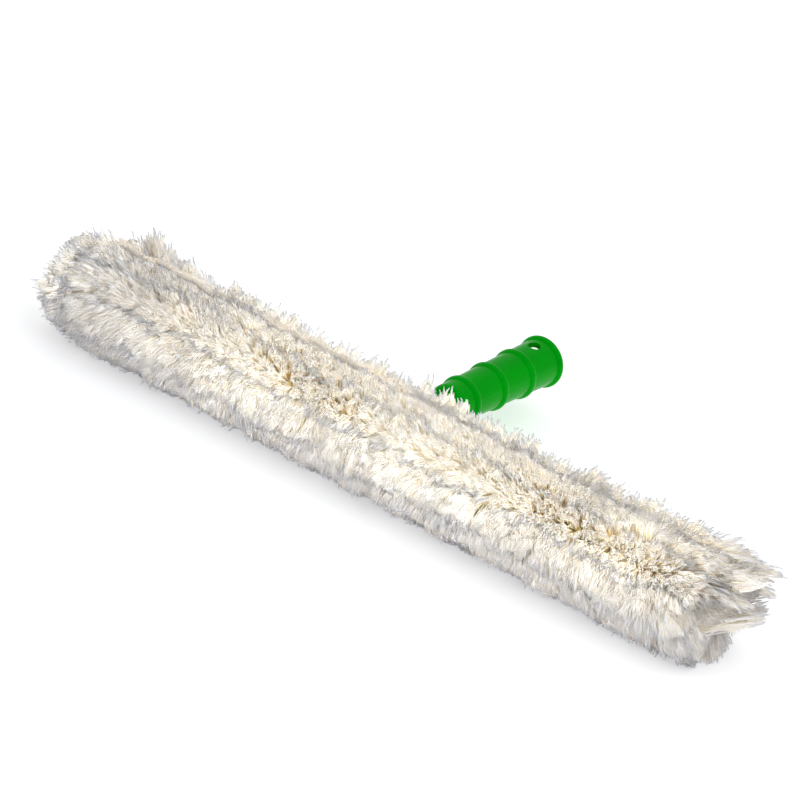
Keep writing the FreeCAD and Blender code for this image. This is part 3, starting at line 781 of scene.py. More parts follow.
class PileZone(Enum):
    """Bands of pile along the sleeve: name, and angles from the top towards the front in degrees."""

    TOP_FRONT = ("pile_top_front", -9.5, 31.0)
    FRONT_UPPER = ("pile_front_upper", 31.0, 71.0)
    FRONT_MIDDLE = ("pile_front_middle", 71.0, 111.0)
    FRONT_LOWER = ("pile_front_lower", 111.0, 151.0)
    UNDER = ("pile_under", 151.0, 191.0)
    REAR_LOWER = ("pile_rear_lower", 191.0, 231.0)
    REAR_MIDDLE = ("pile_rear_middle", 231.0, 271.0)
    REAR_UPPER = ("pile_rear_upper", 271.0, 311.0)
    RIDGE = ("pile_ridge_yarn", 311.0, 350.5)


@dataclass(frozen=True)
class Sway:
    """How far strands lean: with the slow swirl, with their lock, with their tuft and each by itself."""

    swirl: float
    lock: float
    tuft: float
    strand: float


@dataclass(frozen=True)
class PileToneAndShade:
    """How grey strands look, from 0 to 1: a random tone, with painted shade low round the sleeve, towards
    the left end and near the right end, and on the right end, its end lock and the mouth fringe.
    """

    base: float = 0.08
    swell: float = 0.05
    scatter: float = 0.06
    most: float = 0.9
    # Painted shade: low, left, right, right_end, end_lock and mouth grey the strands low round the sleeve
    # and towards the left end, where less light falls, and at the right end and mouth fringe, where lamps
    # and floor light them most
    low: float = 0.6
    shade_low_from: float = math.radians(95)
    shade_low_ease: float = math.radians(35)
    left: float = 0.55
    shade_left_length: float = 120 * MM
    shade_left_ease: float = 100 * MM
    shade_mouth_ease: float = 30 * MM
    right: float = 0.3
    right_end: float = 0.75
    end_lock: float = 0.8
    mouth: float = 0.3


@dataclass(frozen=True)
class PileRidge:
    """Rear edge of the groove, where tufts stand clearer, less even and with longer strays."""

    front_ease: float = math.radians(12)
    rear: float = math.radians(62)
    rear_ease: float = 0.2
    gather: float = 0.9
    uneven: float = 1.6
    stray: float = 0.6


@dataclass(frozen=True)
class RightEnd:
    """Long pile on the closed right end, the notch over its end seam and the fold under it."""

    count: int = 3400
    fan: float = 0.18
    fan_scatter: float = 0.1
    setback: float = 9 * MM
    inset: float = 1 * MM
    spread: Span = (1.1, 1.75)
    half_size: float = 25 * MM
    spill: float = 8.0 * MM
    spill_level: float = 0.4
    spill_high: float = 0.6
    spill_rear: float = 0.3
    rear_cut: float = 9 * MM
    notch_drop: float = 5 * MM
    notch_half: float = 7 * MM
    notch_depth: float = 9 * MM
    notch_front: float = 0.5
    uneven: float = 4.2 * MM
    trim: float = 3 * MM
    least: float = 3 * MM
    droop: Span = (5 * MM, 2 * MM)
    knee: Triple = (0.6, 0.2, 0.55)
    fold_drop: float = 13 * MM
    fold_slope: float = 1.6
    fold_rear: float = 10 * MM
    fold_reach: float = 13 * MM
    fold_more: float = 14 * MM
    fold_ease: float = 4 * MM


@dataclass(frozen=True)
class EndLock:
    """Lock that lies across the notch of the right end: places from the bar's axis, and spreads."""

    count: int = 300
    root: Triple = (224 * MM, -14 * MM, -4 * MM)
    root_spread: Triple = (1.2 * MM, 3.4 * MM, 3.6 * MM)
    tip: Triple = (251 * MM, 16 * MM, 2 * MM)
    tip_spread: Triple = (1.5 * MM, 3.4 * MM, 2.8 * MM)
    tip_scatter: float = 1.6 * MM
    knee: Triple = (18 * MM, 4 * MM, 4 * MM)


@dataclass(frozen=True)
class MouthFringe:
    """Fringe that fans out round the open left mouth."""

    count: int = 1800
    root_rise: float = 0.5 * MM
    root_depth: float = 1 * MM
    setback: float = 2.0 * MM
    setback_rear: float = 0.3
    setback_front: float = 0.7
    uneven: float = 4.0 * MM
    fan: float = 0.2
    fan_scatter: float = 0.08
    spread: Span = (0.75, 2.1)
    knee_out: float = 5 * MM
    knee_rise: float = 3 * MM


@dataclass(frozen=True)
class SlotDrape:
    """Yarn that hangs over the slot behind, outside the tapes and clear of the handle's neck."""

    inset: float = 10 * MM
    ease: float = 4 * MM
    neck_gap: float = 4 * MM
    out: Span = (1 * MM, 4.5 * MM)
    drop: Span = (2 * MM, 12 * MM)
    knee_out: float = 7 * MM
    knee_up: float = 5 * MM


@dataclass
class PileFleece:
    """Cut pile all over the sleeve: strands in tufts, tufts in locks, locks combed in slow swirls."""

    plan: SleevePlan
    tone: PileToneAndShade = PileToneAndShade()
    ridge: PileRidge = PileRidge()
    end: RightEnd = RightEnd()
    lock: EndLock = EndLock()
    fringe: MouthFringe = MouthFringe()
    hung: SlotDrape = SlotDrape()
    seed: int = 11
    spacing: float = 1.08 * MM
    overhang: float = 1 * MM
    thickness: float = 1.12 * MM
    thickness_range: Span = (0.8, 1.15)
    wobble: float = 0.45 * MM
    wobble_span: float = 0.8
    floor_gap: float = 0.7 * MM

    bed_rise: float = 4.0 * MM
    bed_gap: float = 0.9 * MM
    bed_steps: int = 110
    lump_count: int = 24
    lump_length: Span = (24 * MM, 7 * MM)
    lump_height: float = 0.7 * MM
    root_sink: float = 1.2 * MM
    least_cover: float = 2 * MM

    tuft_pitch: float = 5.4 * MM
    lock_pitch: float = 19.0 * MM
    jitter: float = 0.95
    gather: float = 0.22
    dome: float = 1.3 * MM
    uneven: float = 0.8 * MM
    overgrow: float = 0.8 * MM
    stray_share: float = 0.05
    stray_reach: float = 3.2 * MM
    stray_range: Span = (0.3, 1.0)
    knee_rise: float = 0.62
    knee_run: float = 0.22

    wave_count: int = 9
    waves_round: int = 3
    swirl_length: Span = (160 * MM, 50 * MM)
    swell_length: Span = (60 * MM, 18 * MM)
    swell_height: float = 0.9 * MM
    sway_along: Sway = Sway(swirl=2.6 * MM, lock=1.8 * MM, tuft=0.9 * MM, strand=1.2 * MM)
    sway_round: Sway = Sway(swirl=0.06, lock=0.045, tuft=0.026, strand=0.036)

    upright: float = math.radians(54)
    upright_ease: float = math.radians(40)
    hang: float = 0.72
    lift: float = 0.14
    hang_range: Span = (0.6, 1.2)
    seam_push: float = 0.1
    seam_ease: float = 8 * MM
    seam_gap: float = 0.14
    groove_half: float = 0.6 * MM
    cover_turn: float = 0.4
    cover_rise: float = 1.0 * MM
    slot_clear: float = 1.5 * MM
    slot_end_clear: float = 2 * MM

    pull_length: float = 32 * MM
    pull_curve: float = 1.4
    left_pull: float = 9 * MM
    left_fray: Span = (5 * MM, 20 * MM)
    right_pull: float = 3 * MM
    right_pull_high: float = 20 * MM
    high_tilt: float = 0.17
    high_from: float = 0.3
    high_ease: float = 0.5
    look_from: float = 80 * MM
    look_inset_left: float = 6 * MM
    look_inset_right: float = 4 * MM
    left_hold: float = 4 * MM
    left_taper: float = 0.7
    right_taper: float = 0.6
    end_look_from: float = 0.4
    end_least: float = 4 * MM

    # Places along the bar, and how far the pile is combed along it there
    comb: tuple[Span, ...] = (
        (-0.22, -0.015),
        (-0.17, -0.010),
        (-0.12, -0.005),
        (-0.06, 0.003),
        (0.05, -0.003),
        (0.13, 0.003),
        (0.22, 0.009),
    )
    # Places along the bar, and how much of the seam's height the pile covers there
    seam_cover: tuple[Span, ...] = (
        (-0.145, 0.0),
        (-0.135, 1.0),
        (-0.095, 1.0),
        (-0.085, 0.0),
        (0.0, 0.0),
        (0.012, 1.0),
    )
    # Places along the bar, angles from the top in degrees, and how far the yarn stands out there
    cowlicks: tuple[Triple, ...] = (
        (-0.181, -22.0, 0.012),
        (-0.150, -24.0, 0.005),
        (-0.117, -22.0, 0.006),
        (-0.085, -24.0, 0.006),
        (-0.012, -24.0, 0.005),
        (0.040, -34.0, 0.008),
        (0.054, -32.0, 0.007),
        (0.085, -22.0, 0.005),
        (0.128, -24.0, 0.006),
        (0.172, -24.0, 0.006),
    )
    cowlick_size: float = 5.0 * MM
    cowlick_range: Span = (0.2, 1.0)
    cowlick_curve: float = 1.5
    block_size: int = 2000
    rng: np.random.Generator = field(init=False)
    solid: BVHTree = field(init=False)

    def __post_init__(self) -> None:
        """Seeds the draws and reads the frame's pile solids."""
        self.rng = np.random.default_rng(self.seed)
        points, faces = [], []
        for node in ("pile_main", "pile_ridge", "pile_right_end"):
            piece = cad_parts[node]
            first = len(points)
            points += [piece.matrix_world @ vert.co for vert in piece.data.vertices]
            faces += [[first + index for index in face.vertices] for face in piece.data.polygons]
        self.solid = BVHTree.FromPolygons(points, faces)

    def waves(self, count: int, longest: float, shortest: float) -> tuple[np.ndarray, ...]:
        """Draws slow waves over the sleeve's surface.

        Args:
            count: How many waves.
            longest: Longest wave along the bar.
            shortest: Shortest wave along the bar.

        Returns:
            Wave numbers along the bar and round it, and phases.
        """
        along = 2 * np.pi / self.rng.uniform(shortest, longest, count)
        around = self.rng.integers(-self.waves_round, self.waves_round + 1, count)
        return along, around, self.rng.uniform(0, 2 * np.pi, count)

    @staticmethod
    def swell(waves: tuple[np.ndarray, ...], x: np.ndarray, turn: np.ndarray) -> np.ndarray:
        """Height of the waves at places on the sleeve, mostly from -1 to 1."""
        along, around, phase = waves
        heights = np.sin(np.multiply.outer(x, along) + np.multiply.outer(turn, around) + phase)
        return heights.sum(-1) / math.sqrt(len(phase))

    def scatter(self, left: float, right: float, pitch: float) -> tuple[np.ndarray, np.ndarray]:
        """Uneven grid of places over the pile's outside.

        Args:
            left: First place along the bar.
            right: Last place along the bar.
            pitch: Spacing on the outside.

        Returns:
            Places along the bar and angles from the top.
        """
        columns = round((right - left) / pitch)
        rows = round(2 * math.pi * self.plan.reach / pitch)
        column, row = np.meshgrid(np.arange(columns), np.arange(rows), indexing="ij")
        shift = self.rng.uniform(-0.5, 0.5, (2, columns, rows)) * self.jitter
        x = left + (column + 0.5 + shift[0]) * (right - left) / columns
        turn = (row + 0.5 * (column % 2) + 0.5 + shift[1]) * 2 * math.pi / rows
        return x.ravel(), turn.ravel() % (2 * math.pi)

    def nearest(
        self, x: np.ndarray, turn: np.ndarray, centres: tuple[np.ndarray, np.ndarray]
    ) -> np.ndarray:
        """Index of the nearest centre on the pile's outside.

        Args:
            x: Places along the bar.
            turn: Angles from the top.
            centres: Places and angles of the centres.

        Returns:
            One index for each place.
        """
        reach = self.plan.reach
        found = np.empty(len(x), int)
        for block in np.array_split(np.arange(len(x)), max(1, len(x) // self.block_size)):
            apart_x = x[block, None] - centres[0][None]
            apart_turn = half_turn(turn[block, None] - centres[1][None])
            found[block] = np.argmin(apart_x**2 + (apart_turn * reach) ** 2, axis=1)
        return found

    def depth(self, starts: np.ndarray, ways: np.ndarray, default: float) -> np.ndarray:
        """How far the pile's solids lie from points outside them.

        Args:
            starts: The points.
            ways: Directions to look in, as unit vectors.
            default: Distance where nothing is met.

        Returns:
            The distances.
        """
        looks = zip(starts.tolist(), ways.tolist(), strict=True)
        met = (self.solid.ray_cast(start, way)[3] for start, way in looks)
        return np.array([default if far is None else far for far in met])

    def outside(self, x: np.ndarray, turn: np.ndarray) -> np.ndarray:
        """Distance of the pile's outside from the axis: the frame's solids, drawn in past their ends."""
        plan, far = self.plan, self.look_from
        inside = np.clip(x, plan.pile_left + self.look_inset_left, plan.pile_right - self.look_inset_right)
        out = np.stack([np.zeros_like(turn), -np.sin(turn), np.cos(turn)], axis=-1)
        away = far - self.depth(plan.spot(inside, turn, np.full(len(x), far)), -out, far)
        past_left = np.maximum(plan.pile_left - self.left_hold - x, 0)
        away = away - self.left_taper * past_left - self.right_taper * np.maximum(x - inside, 0)
        flat = (plan.axis_z - self.floor_gap) / np.maximum(-np.cos(turn), TINY)
        return np.minimum(np.maximum(away, plan.edge(turn, self.bed_rise + self.least_cover)), flat)

    def end_face(self, spots: np.ndarray) -> np.ndarray:
        """Where the pile's closed end lies along the bar, in line with some points."""
        far = self.end_look_from
        starts = spots.copy()
        starts[:, 0] = far
        ways = np.tile([-1.0, 0.0, 0.0], (len(spots), 1))
        return far - np.minimum(self.depth(starts, ways, far), far - self.plan.right - self.end_least)

    def bend(self, root: np.ndarray, knee: np.ndarray, tip: np.ndarray) -> np.ndarray:
        """Centre lines that leave the root towards the knee and end at the tip.

        Args:
            root: Root points.
            knee: Points that the lines bend towards.
            tip: Tip points.

        Returns:
            Lines with as many points as the taper, none below the floor.
        """
        share = np.array(StrandMaker.steps)[None, :, None]
        lines = (1 - share) ** 2 * root[:, None] + 2 * (1 - share) * share * knee[:, None]
        lines = lines + share**2 * tip[:, None]
        wobble = self.rng.normal(0, self.wobble, lines.shape)
        lines = lines + wobble * np.sin(np.pi * share * self.wobble_span)
        lift = self.floor_gap * (1 + self.rng.random(lines.shape[:2]))
        lines[..., 2] = np.maximum(lines[..., 2], lift)
        return lines

    def tones(self, count: int, mean: np.ndarray | float) -> np.ndarray:
        """How grey each strand looks: a mean that holds the painted shade, with random scatter."""
        return np.clip(mean + self.rng.normal(0, self.tone.scatter, count), 0, self.tone.most)

    def widths(self, count: int) -> np.ndarray:
        """Half the thickness of each strand."""
        return self.thickness / 2 * self.rng.uniform(*self.thickness_range, count)

    def grown(self, root: np.ndarray, knee: np.ndarray, tip: np.ndarray, tone: float) -> StrandSet:
        """Strands from their roots, knees and tips, all of about one tone."""
        return StrandSet(self.bend(root, knee, tip), self.widths(len(root)), self.tones(len(root), tone))

    def stand_out(self, x: np.ndarray, signed: np.ndarray) -> np.ndarray:
        """How far the cowlicks reach out of the pile at places on it."""
        reach = np.zeros(len(x))
        for middle, turn, height in self.cowlicks:
            apart = (x - middle) ** 2 + ((signed - math.radians(turn)) * self.plan.reach) ** 2
            reach += height * np.exp(-apart / (2 * self.cowlick_size**2))
        return reach * self.rng.uniform(*self.cowlick_range, len(x)) ** self.cowlick_curve

    def cut_back(self, tip: np.ndarray) -> np.ndarray:
        """Keeps tips out of the right end's lower rear corner, where the end seam folds under."""
        plan, end = self.plan, self.end
        below = plan.axis_z - end.fold_drop + end.fold_slope * (tip[:, 1] - end.fold_rear) - tip[:, 2]
        more = end.fold_more * np.exp(-np.maximum(below, 0) / end.fold_ease)
        most = np.where(below > 0, plan.right + end.fold_reach + more, np.inf)
        tip[:, 0] = np.minimum(tip[:, 0], most)
        return tip

    def drape(
        self, root: np.ndarray, tip: np.ndarray, knee: np.ndarray
    ) -> tuple[np.ndarray, np.ndarray]:
        """Lets the yarn above the slot hang down over it, clear of the handle's neck.

        Args:
            root: Root points.
            tip: Tip points.
            knee: Points that the strands bend towards.

        Returns:
            The tips and the knees, moved where they hang.
        """
        plan, rng, hung, count = self.plan, self.rng, self.hung, len(root)
        behind = plan.half_flat + plan.radius + self.bed_rise
        share = share_of(root[:, 1] - behind + hung.inset, hung.ease) * (root[:, 2] > plan.axis_z)
        share = share * share_of(-plan.slot_end - hung.neck_gap - tip[:, 0], hung.ease)
        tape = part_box("hook_strip")[1]
        end_y = np.maximum(behind, tape.y) + rng.uniform(*hung.out, count)
        end_z = plan.axis_z - rng.uniform(*hung.drop, count)
        end = np.stack([tip[:, 0], end_y, end_z], 1)
        out_y, out_z = np.full(count, tape.y + hung.knee_out), np.full(count, tape.z + hung.knee_up)
        out = np.stack([root[:, 0], out_y, out_z], 1)
        return tip + share[:, None] * (end - tip), knee + share[:, None] * (out - knee)

    def side(self) -> tuple[StrandSet, np.ndarray]:
        """Grows the pile round the sleeve, with even tips in front of the seam and even roots behind it.

        Returns:
            The strands and their angles in degrees.
        """
        plan, rng = self.plan, self.rng
        x, turn = self.scatter(plan.left - self.overhang, plan.right + self.overhang, self.spacing)
        tufts = self.scatter(plan.left, plan.right, self.tuft_pitch)
        locks = self.scatter(plan.left, plan.right, self.lock_pitch)
        tuft = self.nearest(x, turn, tufts)
        lock = self.nearest(*tufts, locks)[tuft]
        swirl_along = self.waves(self.wave_count, *self.swirl_length)
        swirl_round = self.waves(self.wave_count, *self.swirl_length)
        swell = self.swell(self.waves(self.wave_count, *self.swell_length), x, turn)
        count = len(x)
        seam = -math.atan2(plan.seam_y, plan.seam_top - plan.axis_z)
        past_seam = half_turn(turn - seam)
        near_seam = np.exp(-np.abs(past_seam) * plan.reach / self.seam_ease)
        signed = half_turn(turn)
        front = past_seam > 0

        def lean(start: np.ndarray | float, sway: Sway, swirl: tuple[np.ndarray, ...]) -> np.ndarray:
            """Draws how far each strand leans from a start."""
            away = start + sway.swirl * self.swell(swirl, x, turn)
            away = away + rng.normal(0, sway.lock, len(locks[0]))[lock]
            return away + rng.normal(0, sway.tuft, len(tufts[0]))[tuft] + rng.normal(0, sway.strand, count)

        away_x = lean(np.interp(x, *zip(*self.comb, strict=True)), self.sway_along, swirl_along)
        away_turn = lean(0.0, self.sway_round, swirl_round)
        past_upright = (np.abs(signed) - self.upright) / self.upright_ease
        fall = np.where(past_upright > 0, self.hang, self.lift) * np.tanh(past_upright)
        fall = fall * np.sign(signed) * rng.uniform(*self.hang_range, count)
        fall = fall + self.seam_push * np.sign(past_seam) * near_seam
        left = share_of(plan.left + self.pull_length - x, self.pull_length)
        right = share_of(x - plan.right + self.pull_length, self.pull_length)
        high = share_of(np.cos(signed + self.high_tilt) - self.high_from, self.high_ease)
        away_x = away_x - self.left_pull * left**self.pull_curve
        away_x = away_x + (self.right_pull + self.right_pull_high * high) * right**self.pull_curve

        from_tuft = half_turn(turn - tufts[1][tuft])
        on_ridge = share_of(-signed, self.ridge.front_ease)
        on_ridge = on_ridge * share_of(self.ridge.rear + signed, self.ridge.rear_ease)
        gather = self.gather * (1 + self.ridge.gather * on_ridge)
        tip_x = x - gather * (x - tufts[0][tuft]) + away_x
        tip_x = np.maximum(tip_x, plan.pile_left - rng.uniform(*self.left_fray, count))
        tip_turn = turn - gather * from_tuft + away_turn + np.where(front, 0.0, fall)
        root_turn = np.where(front, seam + np.maximum(past_seam - fall, self.seam_gap), turn)
        off_middle = np.hypot(x - tufts[0][tuft], from_tuft * plan.reach) / self.tuft_pitch
        short = self.dome * off_middle**2 + np.abs(rng.normal(0, self.uneven, count))
        uneven = rng.normal(0, self.uneven, len(tufts[0]))[tuft] * (1 + self.ridge.uneven * on_ridge)
        short = short - self.swell_height * swell - uneven - self.stand_out(x, signed)
        stray = rng.random(count) < self.stray_share * (1 + on_ridge)
        longer = rng.uniform(*self.stray_range, count) * self.stray_reach
        short = short - stray * longer * (1 + self.ridge.stray * on_ridge)
        tip_away = self.outside(tip_x, tip_turn) - short + self.overgrow
        cover = np.interp(tip_x, *zip(*self.seam_cover, strict=True)) * (np.abs(past_seam) < self.cover_turn)
        covered = plan.seam_top - plan.axis_z + self.cover_rise - short
        tip_away = np.maximum(tip_away, cover * covered)

        root_away = plan.edge(root_turn, self.bed_rise) - self.root_sink
        root = plan.spot(x, root_turn, root_away)
        tip = self.cut_back(plan.spot(tip_x, tip_turn, tip_away))
        knee_x = x + self.knee_run * (tip_x - x)
        knee_turn = root_turn + self.knee_run * (tip_turn - root_turn)
        knee = plan.spot(knee_x, knee_turn, root_away + self.knee_rise * (tip_away - root_away))
        tip, knee = self.drape(root, tip, knee)

        tone = self.tone
        # Painted shade: the tone greys strands low round the sleeve, towards the left end, easing off at the
        # mouth, and near the right end
        low = share_of(np.abs(signed) - tone.shade_low_from, tone.shade_low_ease)
        left_shade_share = share_of(plan.left + tone.shade_left_length - x, tone.shade_left_ease)
        left_shade_share = left_shade_share * share_of(x - plan.left, tone.shade_mouth_ease)
        mean = tone.base + tone.swell * swell + tone.low * low + tone.left * left_shade_share + tone.right * right
        tones = self.tones(count, mean)
        strands = StrandSet(self.bend(root, knee, tip), self.widths(count), tones)
        in_groove = np.abs(tip[:, 1] - plan.seam_y) < self.groove_half
        in_groove &= (tip[:, 2] > plan.axis_z) & (cover < 0.5)
        in_slot = np.abs(root[:, 2] - plan.axis_z) < plan.slot_half + self.slot_clear
        in_slot &= (root[:, 1] > 0) & (x < plan.slot_end + self.slot_end_clear)
        kept = ~in_groove & ~in_slot
        return strands.part(kept), np.degrees(turn[kept])

    def right_end(self) -> StrandSet:
        """Grows the long pile on the closed right end, parted over the notch of its flat end seam.

        Returns:
            The strands.
        """
        plan, rng, end = self.plan, self.rng, self.end
        turn = rng.uniform(0, 2 * np.pi, end.count)
        root_away = plan.edge(turn, self.bed_rise) * np.sqrt(rng.random(end.count))
        root = plan.spot(np.full(end.count, plan.right), turn, root_away)
        tip_turn = turn + end.fan * np.sin(turn) + rng.normal(0, end.fan_scatter, end.count)
        limit = self.outside(np.full(end.count, plan.pile_right - end.setback), tip_turn) - end.inset
        tip_away = np.minimum(root_away * rng.uniform(*end.spread, end.count), limit)
        tip = plan.spot(np.zeros(end.count), tip_turn, tip_away)
        high = np.clip((tip[:, 2] - plan.axis_z) / end.half_size, -1, 1)
        behind = np.clip(tip[:, 1] / end.half_size, -1, 1)
        spill = end.spill * (end.spill_level + end.spill_high * high) * (1 + end.spill_rear * behind)
        spill = spill - end.rear_cut * np.clip(behind - high, 0, 1)
        off_notch = (tip[:, 2] - plan.axis_z + end.notch_drop) / end.notch_half
        parting = np.exp(-(off_notch**2)) * np.clip(end.notch_front - behind, 0, 1)
        short = end.notch_depth * parting + np.abs(rng.normal(0, end.uneven, end.count))
        tip[:, 0] = self.end_face(tip) + spill - short
        tip[:, 0] = np.maximum(self.cut_back(tip)[:, 0] - end.trim, plan.right + end.least)
        tip[:, 2] -= np.where(high < 0, *end.droop)
        # Painted shade: the right end's strands get a greyer tone where the right lamp lights them most
        return self.grown(root, root + (tip - root) * np.array(end.knee), tip, self.tone.right_end)

    def end_lock(self) -> StrandSet:
        """Grows the lock that lies across the notch of the right end, from the front to the rear.

        Returns:
            The strands.
        """
        lock = self.lock
        spread = self.rng.normal(0, 1.0, (lock.count, 3))
        middle = np.array([0, 0, self.plan.axis_z])
        root = middle + np.array(lock.root) + spread * np.array(lock.root_spread)
        tip = middle + np.array(lock.tip) + spread * np.array(lock.tip_spread)
        tip = tip + self.rng.normal(0, lock.tip_scatter, (lock.count, 3))
        # Painted shade: the end lock gets a greyer tone where the right lamp lights it most
        return self.grown(root, root + np.array(lock.knee), tip, self.tone.end_lock)

    def left_mouth(self) -> StrandSet:
        """Grows the fringe that fans out round the open left mouth.

        Returns:
            The strands.
        """
        plan, rng, fringe = self.plan, self.rng, self.fringe
        count = fringe.count
        turn = rng.uniform(0, 2 * np.pi, count)
        root_away = plan.edge(turn) + rng.uniform(fringe.root_rise, self.bed_rise, count)
        root = plan.spot(plan.left - rng.uniform(0, fringe.root_depth, count), turn, root_away)
        front = np.clip(np.sin(turn), 0, 1)
        setback = fringe.setback * (fringe.setback_rear + fringe.setback_front * front)
        tip_x = plan.pile_left + setback + np.abs(rng.normal(0, fringe.uneven, count))
        tip_turn = turn + fringe.fan * np.sin(turn) + rng.normal(0, fringe.fan_scatter, count)
        tip_away = root_away * rng.uniform(*fringe.spread, count)
        tip = plan.spot(tip_x, tip_turn, np.minimum(tip_away, self.outside(tip_x, tip_turn)))
        knee = plan.spot(np.full(count, plan.left - fringe.knee_out), turn, root_away + fringe.knee_rise)
        in_slot = (np.abs(root[:, 2] - plan.axis_z) < plan.slot_half) & (root[:, 1] > 0)
        # Painted shade: the mouth fringe gets a greyer tone to hold down the floor's light through it
        return self.grown(root, knee, tip, self.tone.mouth).part(~in_slot)

    def bed(self) -> Piece:
        """Makes the matted layer that the strands grow out of, hollow and open like the cloth."""
        plan = self.plan
        bm = plan.tube(self.bed_rise, plan.left, plan.right, self.bed_steps)
        waves = self.waves(self.lump_count, *self.lump_length)
        places = np.array([v.co for v in bm.verts])
        turn = np.arctan2(-places[:, 1], places[:, 2] - plan.axis_z)
        for vert, rise in zip(bm.verts, self.swell(waves, places[:, 0], turn), strict=True):
            out = Vector((0, vert.co.y, vert.co.z - plan.axis_z)).normalized()
            vert.co += out * self.lump_height * rise
        thicken(bm, self.bed_rise - self.bed_gap)
        return piece_from("pile_bed", bm)

    def build(self) -> list[Piece]:
        """Makes all pieces of the pile.

        Returns:
            The pieces.
        """
        maker, yarn = StrandMaker(), YarnFinish().make()
        side, turn = self.side()
        made = []
        for zone in PileZone:
            name, first, last = zone.value
            chosen = (turn - first) % 360.0 < last - first
            node = "pile_ridge" if zone is PileZone.RIDGE else "pile_main"
            made.append(on_sleeve(maker.mesh(name, side.part(chosen)), yarn, Slot.YARN, node))
        closed_end = StrandSet.joined([self.right_end(), self.end_lock()])
        piece = maker.mesh("pile_right_end_yarn", closed_end)
        made.append(on_sleeve(piece, yarn, Slot.YARN, "pile_right_end"))
        piece = maker.mesh("pile_mouth_fringe", self.left_mouth())
        made.append(on_sleeve(piece, yarn, Slot.YARN))
        made.append(on_sleeve(self.bed(), FeltFinish().make(), Slot.YARN, "pile_main"))
        return made


@dataclass
class TeeBar:
    """Rigid half: the socket handle on its crossbar, with the pieces that hold them together."""

    green: MouldedPlastic = MouldedPlastic(
        "handle_green", (0.0, 0.36, 0.003), (0.0, 0.32, 0.004),
        rough=(0.2, 0.34), specular=0.07, tint=(0.0, 0.9, 0.5),
    )
    plug: MouldedPlastic = MouldedPlastic(
        "plug_green", (0.0, 0.28, 0.006), (0.0, 0.22, 0.008), rough=(0.4, 0.6), specular=0.4
    )
    core: MouldedPlastic = MouldedPlastic(
        "core_grey", (0.20, 0.21, 0.22), (0.14, 0.15, 0.16), rough=(0.45, 0.65), specular=0.4
    )
    bar: DrawnMetal = DrawnMetal(
        "bar_drawn", (0.80, 0.81, 0.82), (0.70, 0.71, 0.72), rough=(0.22, 0.46), grain=Grain.ALONG_X
    )
    bolt: DrawnMetal = DrawnMetal(
        "bolt_bright", (0.66, 0.66, 0.67), (0.5, 0.5, 0.51), rough=(0.2, 0.4), grain=Grain.ALONG_Y
    )
    brass: DrawnMetal = DrawnMetal(
        "insert_turned", (0.80, 0.60, 0.28), (0.62, 0.45, 0.2), rough=(0.2, 0.4), grain=Grain.ALONG_Y
    )
    rivet: DrawnMetal = DrawnMetal(
        "rivet_pressed", (0.82, 0.82, 0.83), (0.68, 0.68, 0.7), rough=(0.25, 0.5), grain=Grain.ALONG_Z
    )

    def build(self) -> None:
        """Gives each solid of the rigid half its finish."""
        chosen = (
            (self.green, Slot.GREEN, ("handle_grip", "neck_seat")),
            (self.core, Slot.CORE, ("tee_core",)),
            (self.bar, Slot.BAR, ("crossbar",)),
            (self.bolt, Slot.BOLT, ("handle_bolt", "neck_dowels")),
            (self.brass, Slot.INSERT, ("bolt_insert",)),
            (self.plug, Slot.PLUG, ("end_plug_left", "end_plug_right")),
            (self.rivet, Slot.RIVET, ("plug_rivets",)),
        )
        for finish, slot, nodes in chosen:
            material = finish.make()
            for node in nodes:
                dress(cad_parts[node], material)
                LOG.info("%s: finish %s", node, finish.name)


class SeamHalf(Enum):
    """Halves of the seam: the frame's solid, how far its leaves part and how low they lie."""

    CLOSING = ("closing_seam", 1.4 * MM, 1.0 * MM)
    SEWN = ("sewn_seam", 0.8 * MM, 4.0 * MM)


class Tape(Enum):
    """Closing tapes: the frame's solid, which way the nap stands and how far its tips bend over."""

    HOOK = ("hook_strip", -1, 0.9)
    LOOP = ("loop_strip", 1, 1.9)


